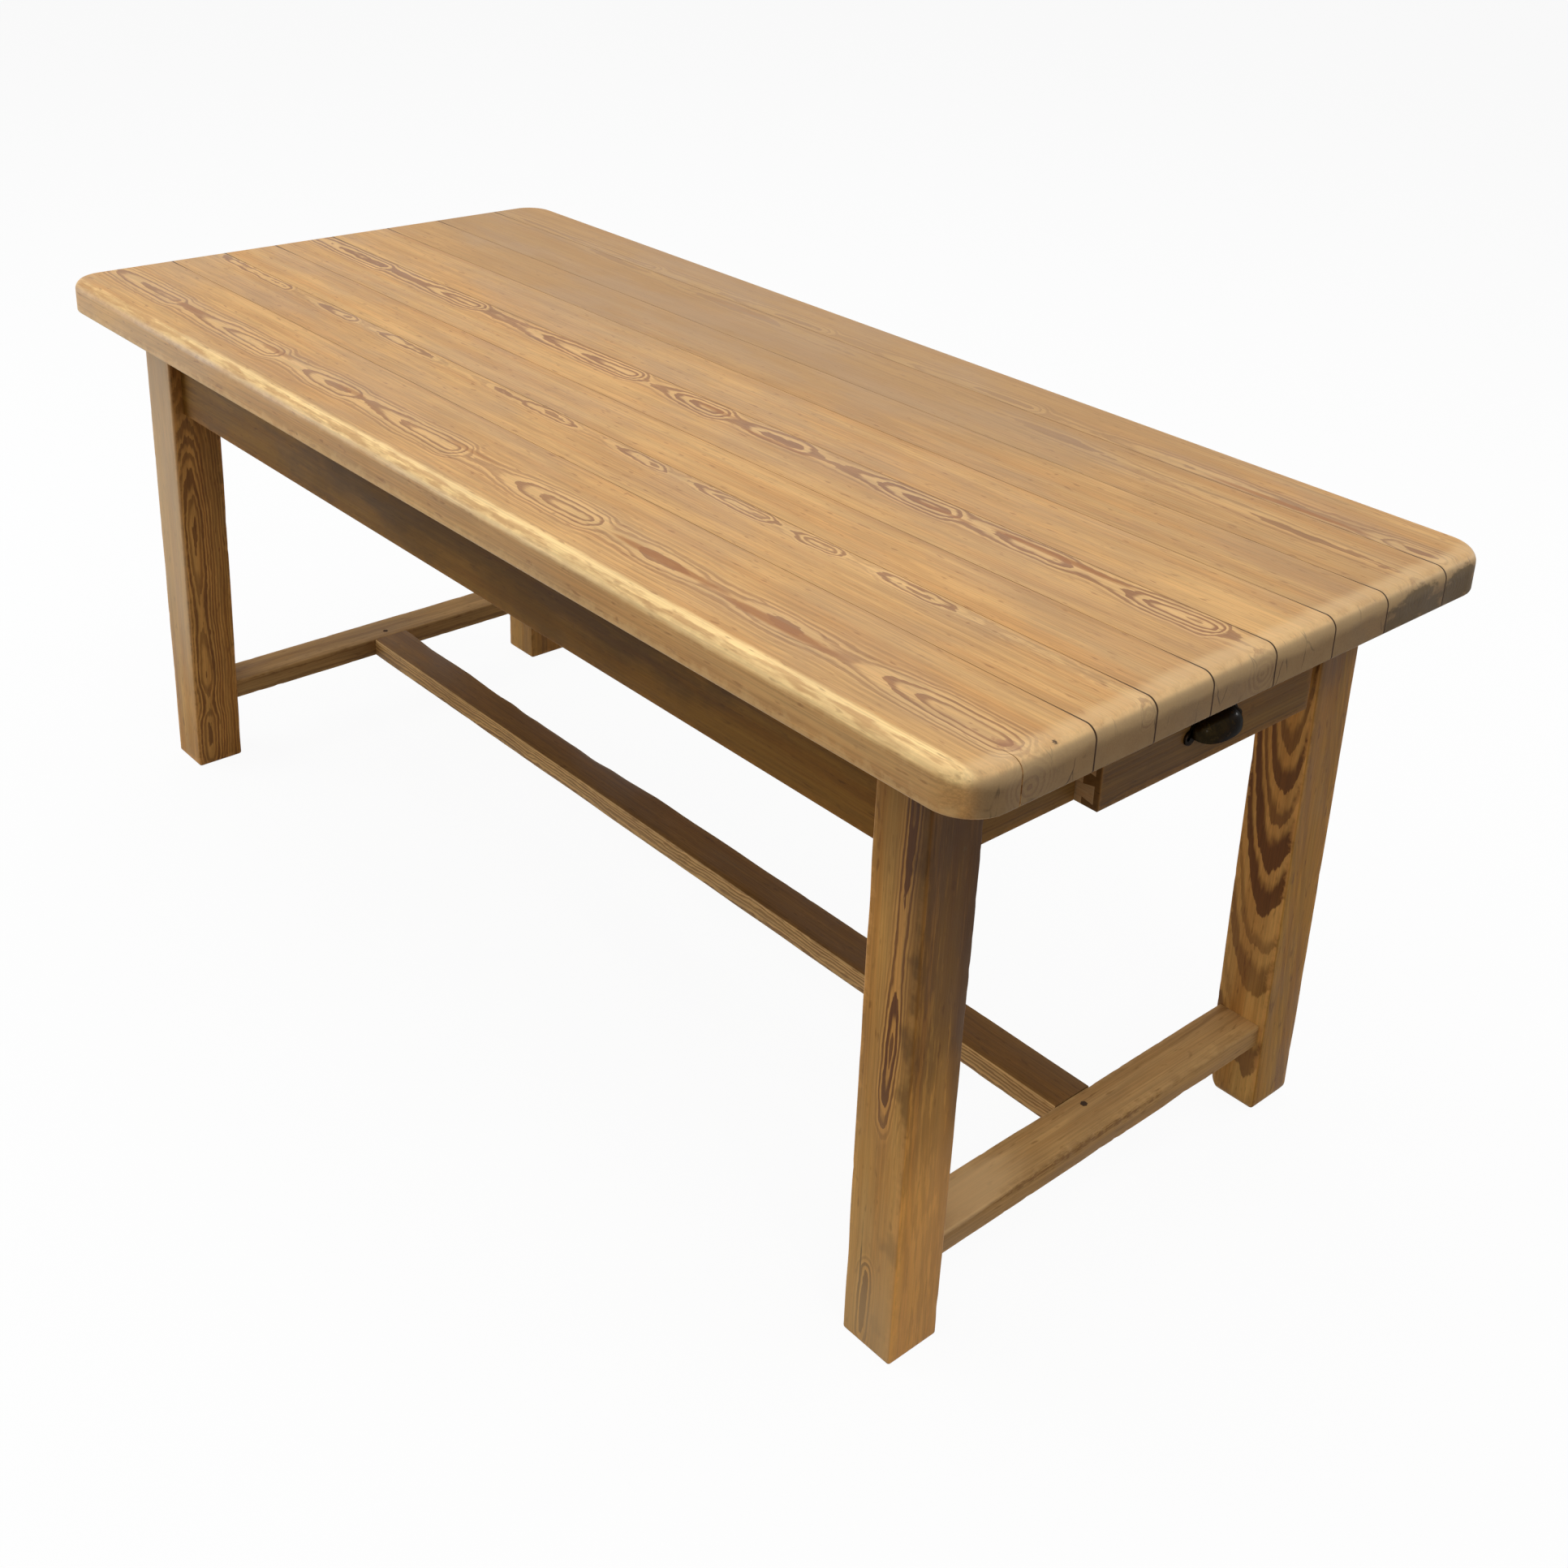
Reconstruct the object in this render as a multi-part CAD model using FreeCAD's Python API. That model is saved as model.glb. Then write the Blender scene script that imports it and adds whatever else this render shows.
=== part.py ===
import FreeCAD, Part
import math
import os

# Farmhouse table: a plank top on four tapered legs, an H-stretcher and one drawer in the end.
# Millimetres. The origin is on the floor under the middle of the top. X runs along the
# length with the drawer end at +X, Y runs across with the back at +Y, and Z is up.

# Overall sizes
table_length = 1840.0
table_width = 836.0
table_height = 770.0

# Plank top
top_thickness = 47.0
top_upper_rounding = 14.0
top_lower_rounding = 4.0
top_corner_radius = 48.0
board_shares = (162, 86, 85, 100, 100, 95, 112, 96)
tongue_projection = 10.0
tongue_height = 11.0
tongue_end_stop = 70.0
groove_bottom_gap = 0.5
seam_gap = 0.8
seam_depth = 7.0
end_check_offset = 65.0
end_check_length = 40.0
end_check_width = 1.6

# Legs
leg_width = 75.0
leg_taper = 4.0
leg_arris = 3.0
foot_wear = 3.0
end_overhang = 104.0
side_overhang = 68.0

# Aprons and their tenons
apron_height = 135.0
apron_thickness = 25.0
apron_setback = 18.0
apron_arris = 2.0
apron_tenon_length = 36.0
apron_tenon_thickness = 11.0
apron_tenon_shoulder = 12.0
mortise_bottom_gap = 1.0

# Stretchers and their tenons
stretcher_width = 60.0
stretcher_thickness = 30.0
stretcher_clear_height = 98.0
stretcher_arris = 2.5
stretcher_tenon_length = 38.0
stretcher_tenon_width = 38.0
stretcher_tenon_thickness = 13.0
peg_diameter = 9.0
peg_length = 25.0
peg_from_shoulder = 18.0
foot_worn_length = 330.0
foot_worn_depth = 4.0
waney_length = 420.0
waney_depth = 3.0
waney_from_middle = 330.0

# Battens and buttons under the top
batten_width = 60.0
batten_thickness = 22.0
batten_from_drawer = 25.5
button_length = 38.0
button_width = 32.0
button_thickness = 20.0
button_tongue_length = 7.0
button_tongue_thickness = 8.0
button_slot_gap = 0.5
button_slot_end_stop = 40.0
button_from_leg = 141.0
button_from_end_leg = 125.0

# Flat-headed wood screws
screw_shank_diameter = 4.0
screw_head_diameter = 8.0
screw_head_height = 2.4
screw_bite = 24.0
screw_counterbore = 9.0
round_sides = 6

# Drawer
drawer_from_front_leg = 155.0
drawer_from_back_leg = 37.0
drawer_height = 100.0
drawer_depth = 420.0
drawer_pulled_out = 30.0
drawer_side_gap = 2.0
drawer_top_gap = 2.0
drawer_front_thickness = 22.0
drawer_side_thickness = 16.0
drawer_side_drop = 4.0
drawer_back_thickness = 12.0
drawer_back_inset = 8.0
drawer_back_housing = 4.0
drawer_bottom_thickness = 7.0
drawer_bottom_height = 9.0
drawer_bottom_groove = 5.0
dovetail_count = 3
dovetail_tip_height = 21.0
dovetail_root_height = 15.0
dovetail_lap = 7.0
drawer_front_arris = 1.5

# Drawer runners
runner_thickness = 22.0
runner_height = 95.0
runner_strip_projection = 8.5
runner_strip_height = 11.4
runner_strip_above_drawer_base = 52.0
runner_groove_side_gap = 1.0
runner_groove_over_gap = 0.3
runner_groove_under_gap = 0.9
runner_screw_count = 3
runner_screw_end_inset = 60.0
stop_thickness = 22.0
stop_height = 60.0
stop_gap = 0.5

# Cup pull
pull_half_width = 38.0
pull_reach = 24.0
pull_wall = 2.4
pull_lip_angle = 12.0
pull_end_steps = 4
pull_plate_thickness = 2.5
pull_rim = 3.0
pull_ear_reach = 48.5
pull_ear_height = 17.0
pull_axis_above_drawer_base = 38.0
pull_screw_inset = 5.5
pull_screw_shank = 3.0
pull_screw_head = 6.0
pull_screw_head_height = 2.2
pull_screw_length = 14.0

# Levels and lines that follow from the sizes above
top_underside = table_height - top_thickness
apron_underside = top_underside - apron_height
leg_outer_x = table_length / 2 - end_overhang
leg_outer_y = table_width / 2 - side_overhang
leg_inner_x = leg_outer_x - leg_width
leg_inner_y = leg_outer_y - leg_width
apron_outer_x = leg_outer_x - apron_setback
apron_outer_y = leg_outer_y - apron_setback
apron_inner_x = apron_outer_x - apron_thickness
apron_inner_y = apron_outer_y - apron_thickness
stretcher_line_x = leg_outer_x - leg_width / 2
stretcher_top = stretcher_clear_height + stretcher_thickness
stretcher_inner_x = stretcher_line_x - stretcher_width / 2
drawer_base = apron_underside
drawer_face_x = apron_outer_x + drawer_pulled_out
drawer_left = -leg_inner_y + drawer_from_front_leg
drawer_right = leg_inner_y - drawer_from_back_leg
drawer_middle = (drawer_left + drawer_right) / 2
drawer_top = drawer_base + drawer_height
drawer_front_back = drawer_face_x - drawer_front_thickness
drawer_rear = drawer_face_x - drawer_depth
drawer_closed_rear = drawer_rear - drawer_pulled_out
runner_rear = drawer_closed_rear - stop_gap - stop_thickness
side_top = drawer_top - drawer_side_drop
strip_base = drawer_base + runner_strip_above_drawer_base
bottom_base = drawer_base + drawer_bottom_height
bottom_top = bottom_base + drawer_bottom_thickness
pull_axis_z = drawer_base + pull_axis_above_drawer_base


def vector(x, y, z):
    """A point or direction."""
    return FreeCAD.Vector(x, y, z)


def block(x0, x1, y0, y1, z0, z1):
    """A box between two limits on each axis, in either order."""
    low = vector(min(x0, x1), min(y0, y1), min(z0, z1))
    return Part.makeBox(abs(x1 - x0), abs(y1 - y0), abs(z1 - z0), low)


def edges_along(shape, axis):
    """The straight edges of a shape that run along one axis, 0 for X, 1 for Y and 2 for Z."""
    found = []
    for edge in shape.Edges:
        if len(edge.Vertexes) == 2:
            run = edge.Vertexes[1].Point - edge.Vertexes[0].Point
            if abs(abs(run[axis]) - run.Length) < 1e-6:
                found.append(edge)
    return found


def edges_at_level(shape, level):
    """The edges of a shape that lie at one height."""
    return [edge for edge in shape.Edges if all(abs(v.Z - level) < 1e-6 for v in edge.Vertexes)]


def one_solid(shape):
    """The single solid of a shape, with coplanar faces merged."""
    return shape.removeSplitter().Solids[0]


def export(name, shape):
    """Writes one node's file."""
    shape.exportStep("parts/" + name + ".step")


def ring(centre, direction, diameter):
    """A closed outline of a few sides about a point, square to a direction."""
    across = direction.cross(vector(0, 1, 0) if abs(direction.y) < 0.5 else vector(1, 0, 0)).normalize()
    along = direction.cross(across)
    corners = []
    for index in range(round_sides + 1):
        turn = 2 * math.pi * (index % round_sides) / round_sides
        corners.append(centre + (across * math.cos(turn) + along * math.sin(turn)) * (diameter / 2))
    return Part.makePolygon(corners)


def round_bar(start, direction, diameter, length):
    """A straight bar or hole of a few sides."""
    return Part.Face(ring(start, direction, diameter)).extrude(direction * length)


def screw(tip, direction, length, shank, head, head_height):
    """A flat-headed screw with its point at tip, its head end the length back along the direction."""
    bar = round_bar(tip, direction, shank, length)
    return one_solid(bar.fuse(round_bar(tip + direction * (length - head_height), direction, head, head_height)))


def screw_from_below(x, y, seat):
    """A screw driven up into the top from a piece whose screw seat is at the given height."""
    tip = vector(x, y, top_underside + screw_bite)
    length = top_underside + screw_bite - seat
    return screw(tip, vector(0, 0, -1), length, screw_shank_diameter, screw_head_diameter, screw_head_height)


# Plank top


def top_slab():
    """The whole top before it is divided into boards, with its worn rounding."""
    half_x = table_length / 2
    half_y = table_width / 2
    slab = block(-half_x, half_x, -half_y, half_y, top_underside, table_height)
    slab = slab.makeFillet(top_corner_radius, edges_along(slab, 2))
    slab = slab.makeFillet(top_upper_rounding, edges_at_level(slab, table_height))
    return slab.makeFillet(top_lower_rounding, edges_at_level(slab, top_underside))


def board_limits():
    """The Y limits of each board, from the front edge to the back edge."""
    unit = table_width / sum(board_shares)
    limits = []
    start = -table_width / 2
    for share in board_shares:
        limits.append((start, start + share * unit))
        start = start + share * unit
    return limits


def seam_slot(seam):
    """The open line that the worn seam shows along the top and down both ends."""
    half_x = table_length / 2
    plate = block(-half_x, half_x, seam - seam_gap / 2, seam + seam_gap / 2, top_underside, table_height)
    core = block(
        -half_x + seam_depth, half_x - seam_depth,
        seam - seam_gap, seam + seam_gap,
        top_underside, table_height - seam_depth,
    )
    return plate.cut(core)


def seam_tongue(seam, extra):
    """The tongue at a seam, or with extra depth the groove that takes it."""
    half_run = table_length / 2 - tongue_end_stop
    middle = top_underside + top_thickness / 2
    return block(
        -half_run, half_run,
        seam, seam + tongue_projection + extra,
        middle - tongue_height / 2, middle + tongue_height / 2,
    )


def end_check():
    """The drying crack that opens at the drawer end of the front board."""
    end = table_length / 2
    y = -table_width / 2 + end_check_offset
    corners = [
        vector(end - end_check_length, y, top_underside),
        vector(end, y - end_check_width / 2, top_underside),
        vector(end, y + end_check_width / 2, top_underside),
        vector(end - end_check_length, y, top_underside),
    ]
    return Part.Face(Part.makePolygon(corners)).extrude(vector(0, 0, top_thickness))


def top_boards(screws):
    """The boards of the top, tongued and grooved together and drilled for the screws."""
    slab = top_slab()
    limits = board_limits()
    boards = []
    for index, (low, high) in enumerate(limits):
        board = slab.common(block(-table_length, table_length, low, high, 0, 2 * table_height))
        if index > 0:
            board = board.cut(seam_slot(low)).cut(seam_tongue(low, groove_bottom_gap))
        else:
            board = board.cut(end_check())
        if index < len(limits) - 1:
            board = board.cut(seam_slot(high)).fuse(seam_tongue(high, 0))
        for item in screws:
            if board.BoundBox.intersect(item.BoundBox):
                board = board.cut(item)
        boards.append(one_solid(board))
    return boards


# Legs


def rounded_square(x0, x1, y0, y1, z):
    """A closed outline with rounded corners at one height."""
    r = leg_arris
    k = r * (1 - math.sqrt(0.5))
    low_x, high_x = min(x0, x1), max(x0, x1)
    low_y, high_y = min(y0, y1), max(y0, y1)
    sides = [
        (vector(low_x + r, low_y, z), vector(high_x - r, low_y, z)),
        (vector(high_x, low_y + r, z), vector(high_x, high_y - r, z)),
        (vector(high_x - r, high_y, z), vector(low_x + r, high_y, z)),
        (vector(low_x, high_y - r, z), vector(low_x, low_y + r, z)),
    ]
    bends = [
        vector(high_x - k, low_y + k, z),
        vector(high_x - k, high_y - k, z),
        vector(low_x + k, high_y - k, z),
        vector(low_x + k, low_y + k, z),
    ]
    edges = []
    for index in range(4):
        start, finish = sides[index]
        following = sides[(index + 1) % 4][0]
        edges.append(Part.LineSegment(start, finish).toShape())
        edges.append(Part.Arc(finish, bends[index], following).toShape())
    return Part.Wire(edges)


def leg_blank(end, side):
    """A leg before its mortises: square at the aprons, tapered on the two inner faces below them."""
    outlines = []
    for level, wear, taper in (
        (0, foot_wear, leg_taper),
        (foot_wear, 0, leg_taper),
        (apron_underside, 0, 0),
        (top_underside, 0, 0),
    ):
        outlines.append(rounded_square(
            end * (leg_outer_x - wear), end * (leg_inner_x + taper + wear),
            side * (leg_outer_y - wear), side * (leg_inner_y + taper + wear),
            level,
        ))
    return Part.makeLoft(outlines, True, True)


def long_apron_tenon(end, side, extra):
    """The tenon of a long apron in a leg, or with extra depth its mortise."""
    middle = side * (apron_outer_y - apron_thickness / 2)
    return block(
        end * leg_inner_x, end * (leg_inner_x + apron_tenon_length + extra),
        middle - apron_tenon_thickness / 2, middle + apron_tenon_thickness / 2,
        apron_underside + apron_tenon_shoulder, top_underside - apron_tenon_shoulder,
    )


def end_apron_tenon(end, side, extra):
    """The tenon of an end apron in a leg, or with extra depth its mortise."""
    middle = end * (apron_outer_x - apron_thickness / 2)
    return block(
        middle - apron_tenon_thickness / 2, middle + apron_tenon_thickness / 2,
        side * leg_inner_y, side * (leg_inner_y + apron_tenon_length + extra),
        apron_underside + apron_tenon_shoulder, top_underside - apron_tenon_shoulder,
    )


def end_stretcher_tenon(end, side, extra):
    """The tenon of an end stretcher in a leg, or with extra depth its mortise."""
    middle = stretcher_clear_height + stretcher_thickness / 2
    return block(
        end * stretcher_line_x - stretcher_tenon_width / 2, end * stretcher_line_x + stretcher_tenon_width / 2,
        side * leg_inner_y, side * (leg_inner_y + stretcher_tenon_length + extra),
        middle - stretcher_tenon_thickness / 2, middle + stretcher_tenon_thickness / 2,
    )


def leg(end, side):
    """A finished leg with its three mortises."""
    shape = leg_blank(end, side)
    for tenon in (long_apron_tenon, end_apron_tenon, end_stretcher_tenon):
        shape = shape.cut(tenon(end, side, mortise_bottom_gap))
    return shape.Solids[0]


# Aprons


def button_slot_base():
    """The height of the underside of the slot that the button tongues enter."""
    return top_underside - button_thickness


def long_apron(side):
    """A long apron with a tenon at each end and the slot for the buttons on its inner face."""
    shape = block(
        -leg_inner_x, leg_inner_x,
        side * apron_inner_y, side * apron_outer_y,
        apron_underside, top_underside,
    )
    low_edges = [edge for edge in edges_along(shape, 0) if edge.CenterOfMass.z < top_underside - 1]
    shape = shape.makeFillet(apron_arris, low_edges)
    half_run = leg_inner_x - button_slot_end_stop
    slot = block(
        -half_run, half_run,
        side * apron_inner_y, side * (apron_inner_y + button_tongue_length + button_slot_gap),
        button_slot_base(), button_slot_base() + button_tongue_thickness,
    )
    shape = shape.cut(slot)
    for end in (-1, 1):
        shape = shape.fuse(long_apron_tenon(end, side, 0))
    return one_solid(shape)


def end_apron_board(end):
    """An end apron between the legs with its tenons, before anything is cut in it."""
    shape = block(
        end * apron_inner_x, end * apron_outer_x,
        -leg_inner_y, leg_inner_y,
        apron_underside, top_underside,
    )
    low_edges = [edge for edge in edges_along(shape, 1) if edge.CenterOfMass.z < top_underside - 1]
    shape = shape.makeFillet(apron_arris, low_edges)
    for side in (-1, 1):
        shape = shape.fuse(end_apron_tenon(end, side, 0))
    return shape


def plain_end_apron():
    """The apron at the end without a drawer, slotted for its buttons."""
    half_run = leg_inner_y - button_slot_end_stop
    slot = block(
        -apron_inner_x, -(apron_inner_x + button_tongue_length + button_slot_gap),
        -half_run, half_run,
        button_slot_base(), button_slot_base() + button_tongue_thickness,
    )
    return one_solid(end_apron_board(-1).cut(slot))


def drawer_end_apron():
    """The apron at the drawer end, cut out from below for the drawer."""
    notch = block(
        apron_inner_x, apron_outer_x,
        drawer_left - drawer_side_gap, drawer_right + drawer_side_gap,
        apron_underside, drawer_top + drawer_top_gap,
    )
    return one_solid(end_apron_board(1).cut(notch))


# Stretchers


def worn_scoop(middle, outward, along, length, depth):
    """The long shallow hollow that feet wear in an arris."""
    radius = (length * length / 4 + depth * depth) / (2 * depth)
    axis = along.cross(outward)
    reach = 4 * depth
    centre = middle + outward * (radius - depth) - axis * (reach / 2)
    return Part.makeCylinder(radius, reach, centre, axis)


def centre_stretcher_tenon(end, extra):
    """The tenon of the centre stretcher in an end stretcher, or with extra depth its mortise."""
    middle = stretcher_clear_height + stretcher_thickness / 2
    return block(
        end * stretcher_inner_x, end * (stretcher_inner_x + stretcher_tenon_length + extra),
        -stretcher_tenon_width / 2, stretcher_tenon_width / 2,
        middle - stretcher_tenon_thickness / 2, middle + stretcher_tenon_thickness / 2,
    )


def stretcher_peg(end):
    """The whittled peg driven down through an end stretcher and the tenon of the centre stretcher."""
    base = vector(end * (stretcher_inner_x + peg_from_shoulder), 0, stretcher_top - peg_length)
    return round_bar(base, vector(0, 0, 1), peg_diameter, peg_length)


def end_stretcher(end):
    """An end stretcher, shouldered to the tapered legs and mortised for the centre stretcher."""
    shape = block(
        end * stretcher_line_x - stretcher_width / 2, end * stretcher_line_x + stretcher_width / 2,
        -leg_inner_y - leg_taper, leg_inner_y + leg_taper,
        stretcher_clear_height, stretcher_top,
    )
    shape = shape.makeFillet(stretcher_arris, edges_along(shape, 1))
    if end > 0:
        arris = vector(stretcher_line_x + stretcher_width / 2, 0, stretcher_top)
        outward = vector(1, 0, 1).normalize()
        shape = shape.cut(worn_scoop(arris, outward, vector(0, 1, 0), foot_worn_length, foot_worn_depth))
    for side in (-1, 1):
        shape = shape.cut(leg_blank(end, side)).fuse(end_stretcher_tenon(end, side, 0))
    shape = shape.cut(centre_stretcher_tenon(end, mortise_bottom_gap)).cut(stretcher_peg(end))
    return one_solid(shape)


def centre_stretcher():
    """The long stretcher between the end stretchers, worn hollow along its upper back arris."""
    shape = block(
        -stretcher_inner_x, stretcher_inner_x,
        -stretcher_width / 2, stretcher_width / 2,
        stretcher_clear_height, stretcher_top,
    )
    shape = shape.makeFillet(stretcher_arris, edges_along(shape, 0))
    outward = vector(0, 1, 1).normalize()
    for place in (-waney_from_middle, waney_from_middle):
        arris = vector(place, stretcher_width / 2, stretcher_top)
        shape = shape.cut(worn_scoop(arris, outward, vector(1, 0, 0), waney_length, waney_depth))
    for end in (-1, 1):
        shape = shape.fuse(centre_stretcher_tenon(end, 0)).cut(stretcher_peg(end))
    return one_solid(shape)


# Battens and buttons under the top


def batten_places():
    """The X positions of the two battens, the right one just behind the drawer's stop."""
    reach = runner_rear - batten_from_drawer - batten_width / 2
    return (-reach, reach)


def batten_screws():
    """Two rows of screws, one through each batten into every board that it covers."""
    rows = []
    for x in batten_places():
        for low, high in board_limits():
            covered_low = max(low, -apron_inner_y)
            covered_high = min(high, apron_inner_y)
            if covered_high - covered_low > 2 * screw_head_diameter:
                y = (covered_low + covered_high) / 2
                rows.append(screw_from_below(x, y, top_underside - batten_thickness))
    return rows


def batten(x, screws):
    """A batten across the underside of the boards, between the long aprons."""
    shape = block(
        x - batten_width / 2, x + batten_width / 2,
        -apron_inner_y, apron_inner_y,
        top_underside - batten_thickness, top_underside,
    )
    for item in screws:
        if abs(item.BoundBox.Center.x - x) < batten_width / 2:
            shape = shape.cut(item)
    return one_solid(shape)


def button(face, inward, screws):
    """A turn button: its tongue in the apron's slot, its body screwed to the underside of the top.

    The face is the middle of the apron's inner face over the button, and inward points away from it.
    """
    across = vector(-inward.y, inward.x, 0) * (button_width / 2)
    body_a = face - across
    body_b = face + inward * button_length + across
    tongue_a = face - inward * button_tongue_length - across
    tongue_b = face + across
    base = button_slot_base()
    body = block(body_a.x, body_b.x, body_a.y, body_b.y, base, top_underside)
    tongue = block(tongue_a.x, tongue_b.x, tongue_a.y, tongue_b.y, base, base + button_tongue_thickness)
    shape = body.fuse(tongue)
    for item in screws:
        shape = shape.cut(item)
    return one_solid(shape)


def button_places():
    """Each button's point on an apron's inner face and its direction towards the middle."""
    spacing = leg_inner_x - button_from_leg
    end_spacing = leg_inner_y - button_from_end_leg
    places = []
    for side in (-1, 1):
        for step in (-1, 0, 1):
            places.append((vector(step * spacing, side * apron_inner_y, 0), vector(0, -side, 0)))
    for side in (-1, 1):
        places.append((vector(-apron_inner_x, side * end_spacing, 0), vector(1, 0, 0)))
    return places


def button_screws():
    """One screw up through each button."""
    rows = []
    for face, inward in button_places():
        point = face + inward * (button_length / 2)
        rows.append(screw_from_below(point.x, point.y, button_slot_base()))
    return rows


# Drawer runners


def runner_inner_y(side):
    """The face of a runner that the drawer slides past."""
    if side < 0:
        return drawer_left - drawer_side_gap
    return drawer_right + drawer_side_gap


def runner_screw_seat():
    """The height of the heads of the runner screws, up inside their counterbores."""
    return top_underside - batten_thickness


def runner_screws(side):
    """The screws that hang a runner from the top."""
    first = drawer_closed_rear + runner_screw_end_inset
    last = apron_inner_x - runner_screw_end_inset
    rows = []
    for index in range(runner_screw_count):
        x = first + (last - first) * index / (runner_screw_count - 1)
        y = runner_inner_y(side) + side * runner_thickness / 2
        rows.append(screw_from_below(x, y, runner_screw_seat()))
    return rows


def runner(side, screws):
    """A runner hung from the top beside the drawer, with the strip that the drawer slides on."""
    inner = runner_inner_y(side)
    shape = block(
        runner_rear, apron_inner_x,
        inner, inner + side * runner_thickness,
        top_underside - runner_height, top_underside,
    )
    strip = block(
        runner_rear, apron_inner_x,
        inner - side * runner_strip_projection, inner,
        strip_base, strip_base + runner_strip_height,
    )
    stop_room = drawer_stop_block()
    shape = shape.fuse(strip).cut(stop_room)
    for item in screws:
        point = item.BoundBox.Center
        if abs(point.y - inner) < runner_thickness:
            low = top_underside - runner_height
            bore = round_bar(vector(point.x, point.y, low), vector(0, 0, 1), screw_counterbore, runner_screw_seat() - low)
            shape = shape.cut(item).cut(bore)
    return one_solid(shape)


def drawer_stop_block():
    """The crosspiece between the runners that the drawer's back comes to rest against."""
    return block(
        runner_rear, runner_rear + stop_thickness,
        runner_inner_y(-1), runner_inner_y(1),
        top_underside - stop_height, top_underside,
    )


def stop_screws():
    """Two screws through the stop into the top."""
    rows = []
    for side in (-1, 1):
        x = runner_rear + stop_thickness / 2
        y = drawer_middle + side * (drawer_right - drawer_left) / 4
        rows.append(screw_from_below(x, y, runner_screw_seat()))
    return rows


def drawer_stop(screws):
    """The drawer stop, counterbored for its screws."""
    shape = drawer_stop_block()
    low = top_underside - stop_height
    for item in screws:
        point = item.BoundBox.Center
        bore = round_bar(vector(point.x, point.y, low), vector(0, 0, 1), screw_counterbore, runner_screw_seat() - low)
        shape = shape.cut(item).cut(bore)
    return one_solid(shape)


# Drawer


def side_limits(side):
    """The outer and inner faces of a drawer side."""
    outer = drawer_middle + side * (drawer_right - drawer_left) / 2
    return outer, outer - side * drawer_side_thickness


def dovetails(side):
    """The tails on the front end of a drawer side, which fill the sockets in the drawer front."""
    outer, inner = side_limits(side)
    pitch = (side_top - drawer_base) / dovetail_count
    tip_x = drawer_face_x - dovetail_lap
    tails = []
    for index in range(dovetail_count):
        middle = drawer_base + pitch * (index + 0.5)
        corners = [
            vector(drawer_front_back, outer, middle - dovetail_root_height / 2),
            vector(tip_x, outer, middle - dovetail_tip_height / 2),
            vector(tip_x, outer, middle + dovetail_tip_height / 2),
            vector(drawer_front_back, outer, middle + dovetail_root_height / 2),
            vector(drawer_front_back, outer, middle - dovetail_root_height / 2),
        ]
        tails.append(Part.Face(Part.makePolygon(corners)).extrude(vector(0, inner - outer, 0)))
    return tails


def drawer_bottom_panel():
    """The bottom, held in grooves in the front and the sides and passing under the back."""
    left = side_limits(-1)[1] - drawer_bottom_groove
    right = side_limits(1)[1] + drawer_bottom_groove
    return block(
        drawer_rear, drawer_front_back + drawer_bottom_groove,
        left, right,
        bottom_base, bottom_top,
    )


def drawer_back_board():
    """The back, housed in the sides and standing on the bottom."""
    left = side_limits(-1)[1] - drawer_back_housing
    right = side_limits(1)[1] + drawer_back_housing
    rear = drawer_rear + drawer_back_inset
    return block(rear, rear + drawer_back_thickness, left, right, bottom_top, side_top - drawer_side_drop)


def drawer_side(side):
    """A drawer side with its tails, its grooves and the slot that hangs on the runner's strip."""
    outer, inner = side_limits(side)
    shape = block(drawer_rear, drawer_front_back, outer, inner, drawer_base, side_top)
    slot_depth = runner_strip_projection - drawer_side_gap + runner_groove_side_gap
    slot = block(
        drawer_rear, drawer_front_back,
        outer, outer - side * slot_depth,
        strip_base - runner_groove_under_gap, strip_base + runner_strip_height + runner_groove_over_gap,
    )
    shape = shape.cut(slot)
    for tail in dovetails(side):
        shape = shape.fuse(tail)
    return one_solid(shape.cut(drawer_bottom_panel()).cut(drawer_back_board()))


def pull_screw_places():
    """The Y positions of the two screws in the ears of the pull."""
    reach = pull_ear_reach - pull_screw_inset
    return (drawer_middle - reach, drawer_middle + reach)


def pull_screws():
    """The two flat-headed screws that hold the pull."""
    seat = drawer_face_x + pull_plate_thickness
    rows = []
    for y in pull_screw_places():
        tip = vector(seat - pull_screw_length, y, pull_axis_z)
        rows.append(screw(
            tip, vector(1, 0, 0), pull_screw_length,
            pull_screw_shank, pull_screw_head, pull_screw_head_height,
        ))
    return rows


def drawer_front(screws):
    """The drawer front with its sockets, its groove for the bottom and softened outer arrises."""
    shape = block(
        drawer_front_back, drawer_face_x,
        drawer_left, drawer_right,
        drawer_base, drawer_top,
    )
    face_edges = [edge for edge in shape.Edges if abs(edge.CenterOfMass.x - drawer_face_x) < 1e-6]
    shape = shape.makeFillet(drawer_front_arris, face_edges)
    shape = shape.cut(drawer_bottom_panel())
    for side in (-1, 1):
        for tail in dovetails(side):
            shape = shape.cut(tail)
    for item in screws:
        shape = shape.cut(item)
    return one_solid(shape)


def closed_half(half_width, reach):
    """Half of a long round-ended outline on the drawer's face, closed along the pull's axis."""
    centre = vector(drawer_face_x, drawer_middle, pull_axis_z)
    corners = []
    for side in (1, -1):
        for step in range(pull_end_steps + 1):
            turn = math.pi / 2 * step / pull_end_steps
            rise = math.sin(turn) if side > 0 else math.cos(turn)
            run = math.cos(turn) if side > 0 else math.sin(turn)
            corners.append(centre + vector(0, side * (half_width - reach + reach * run), reach * rise))
    return Part.Face(Part.makePolygon(corners + corners[:1]))


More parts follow.
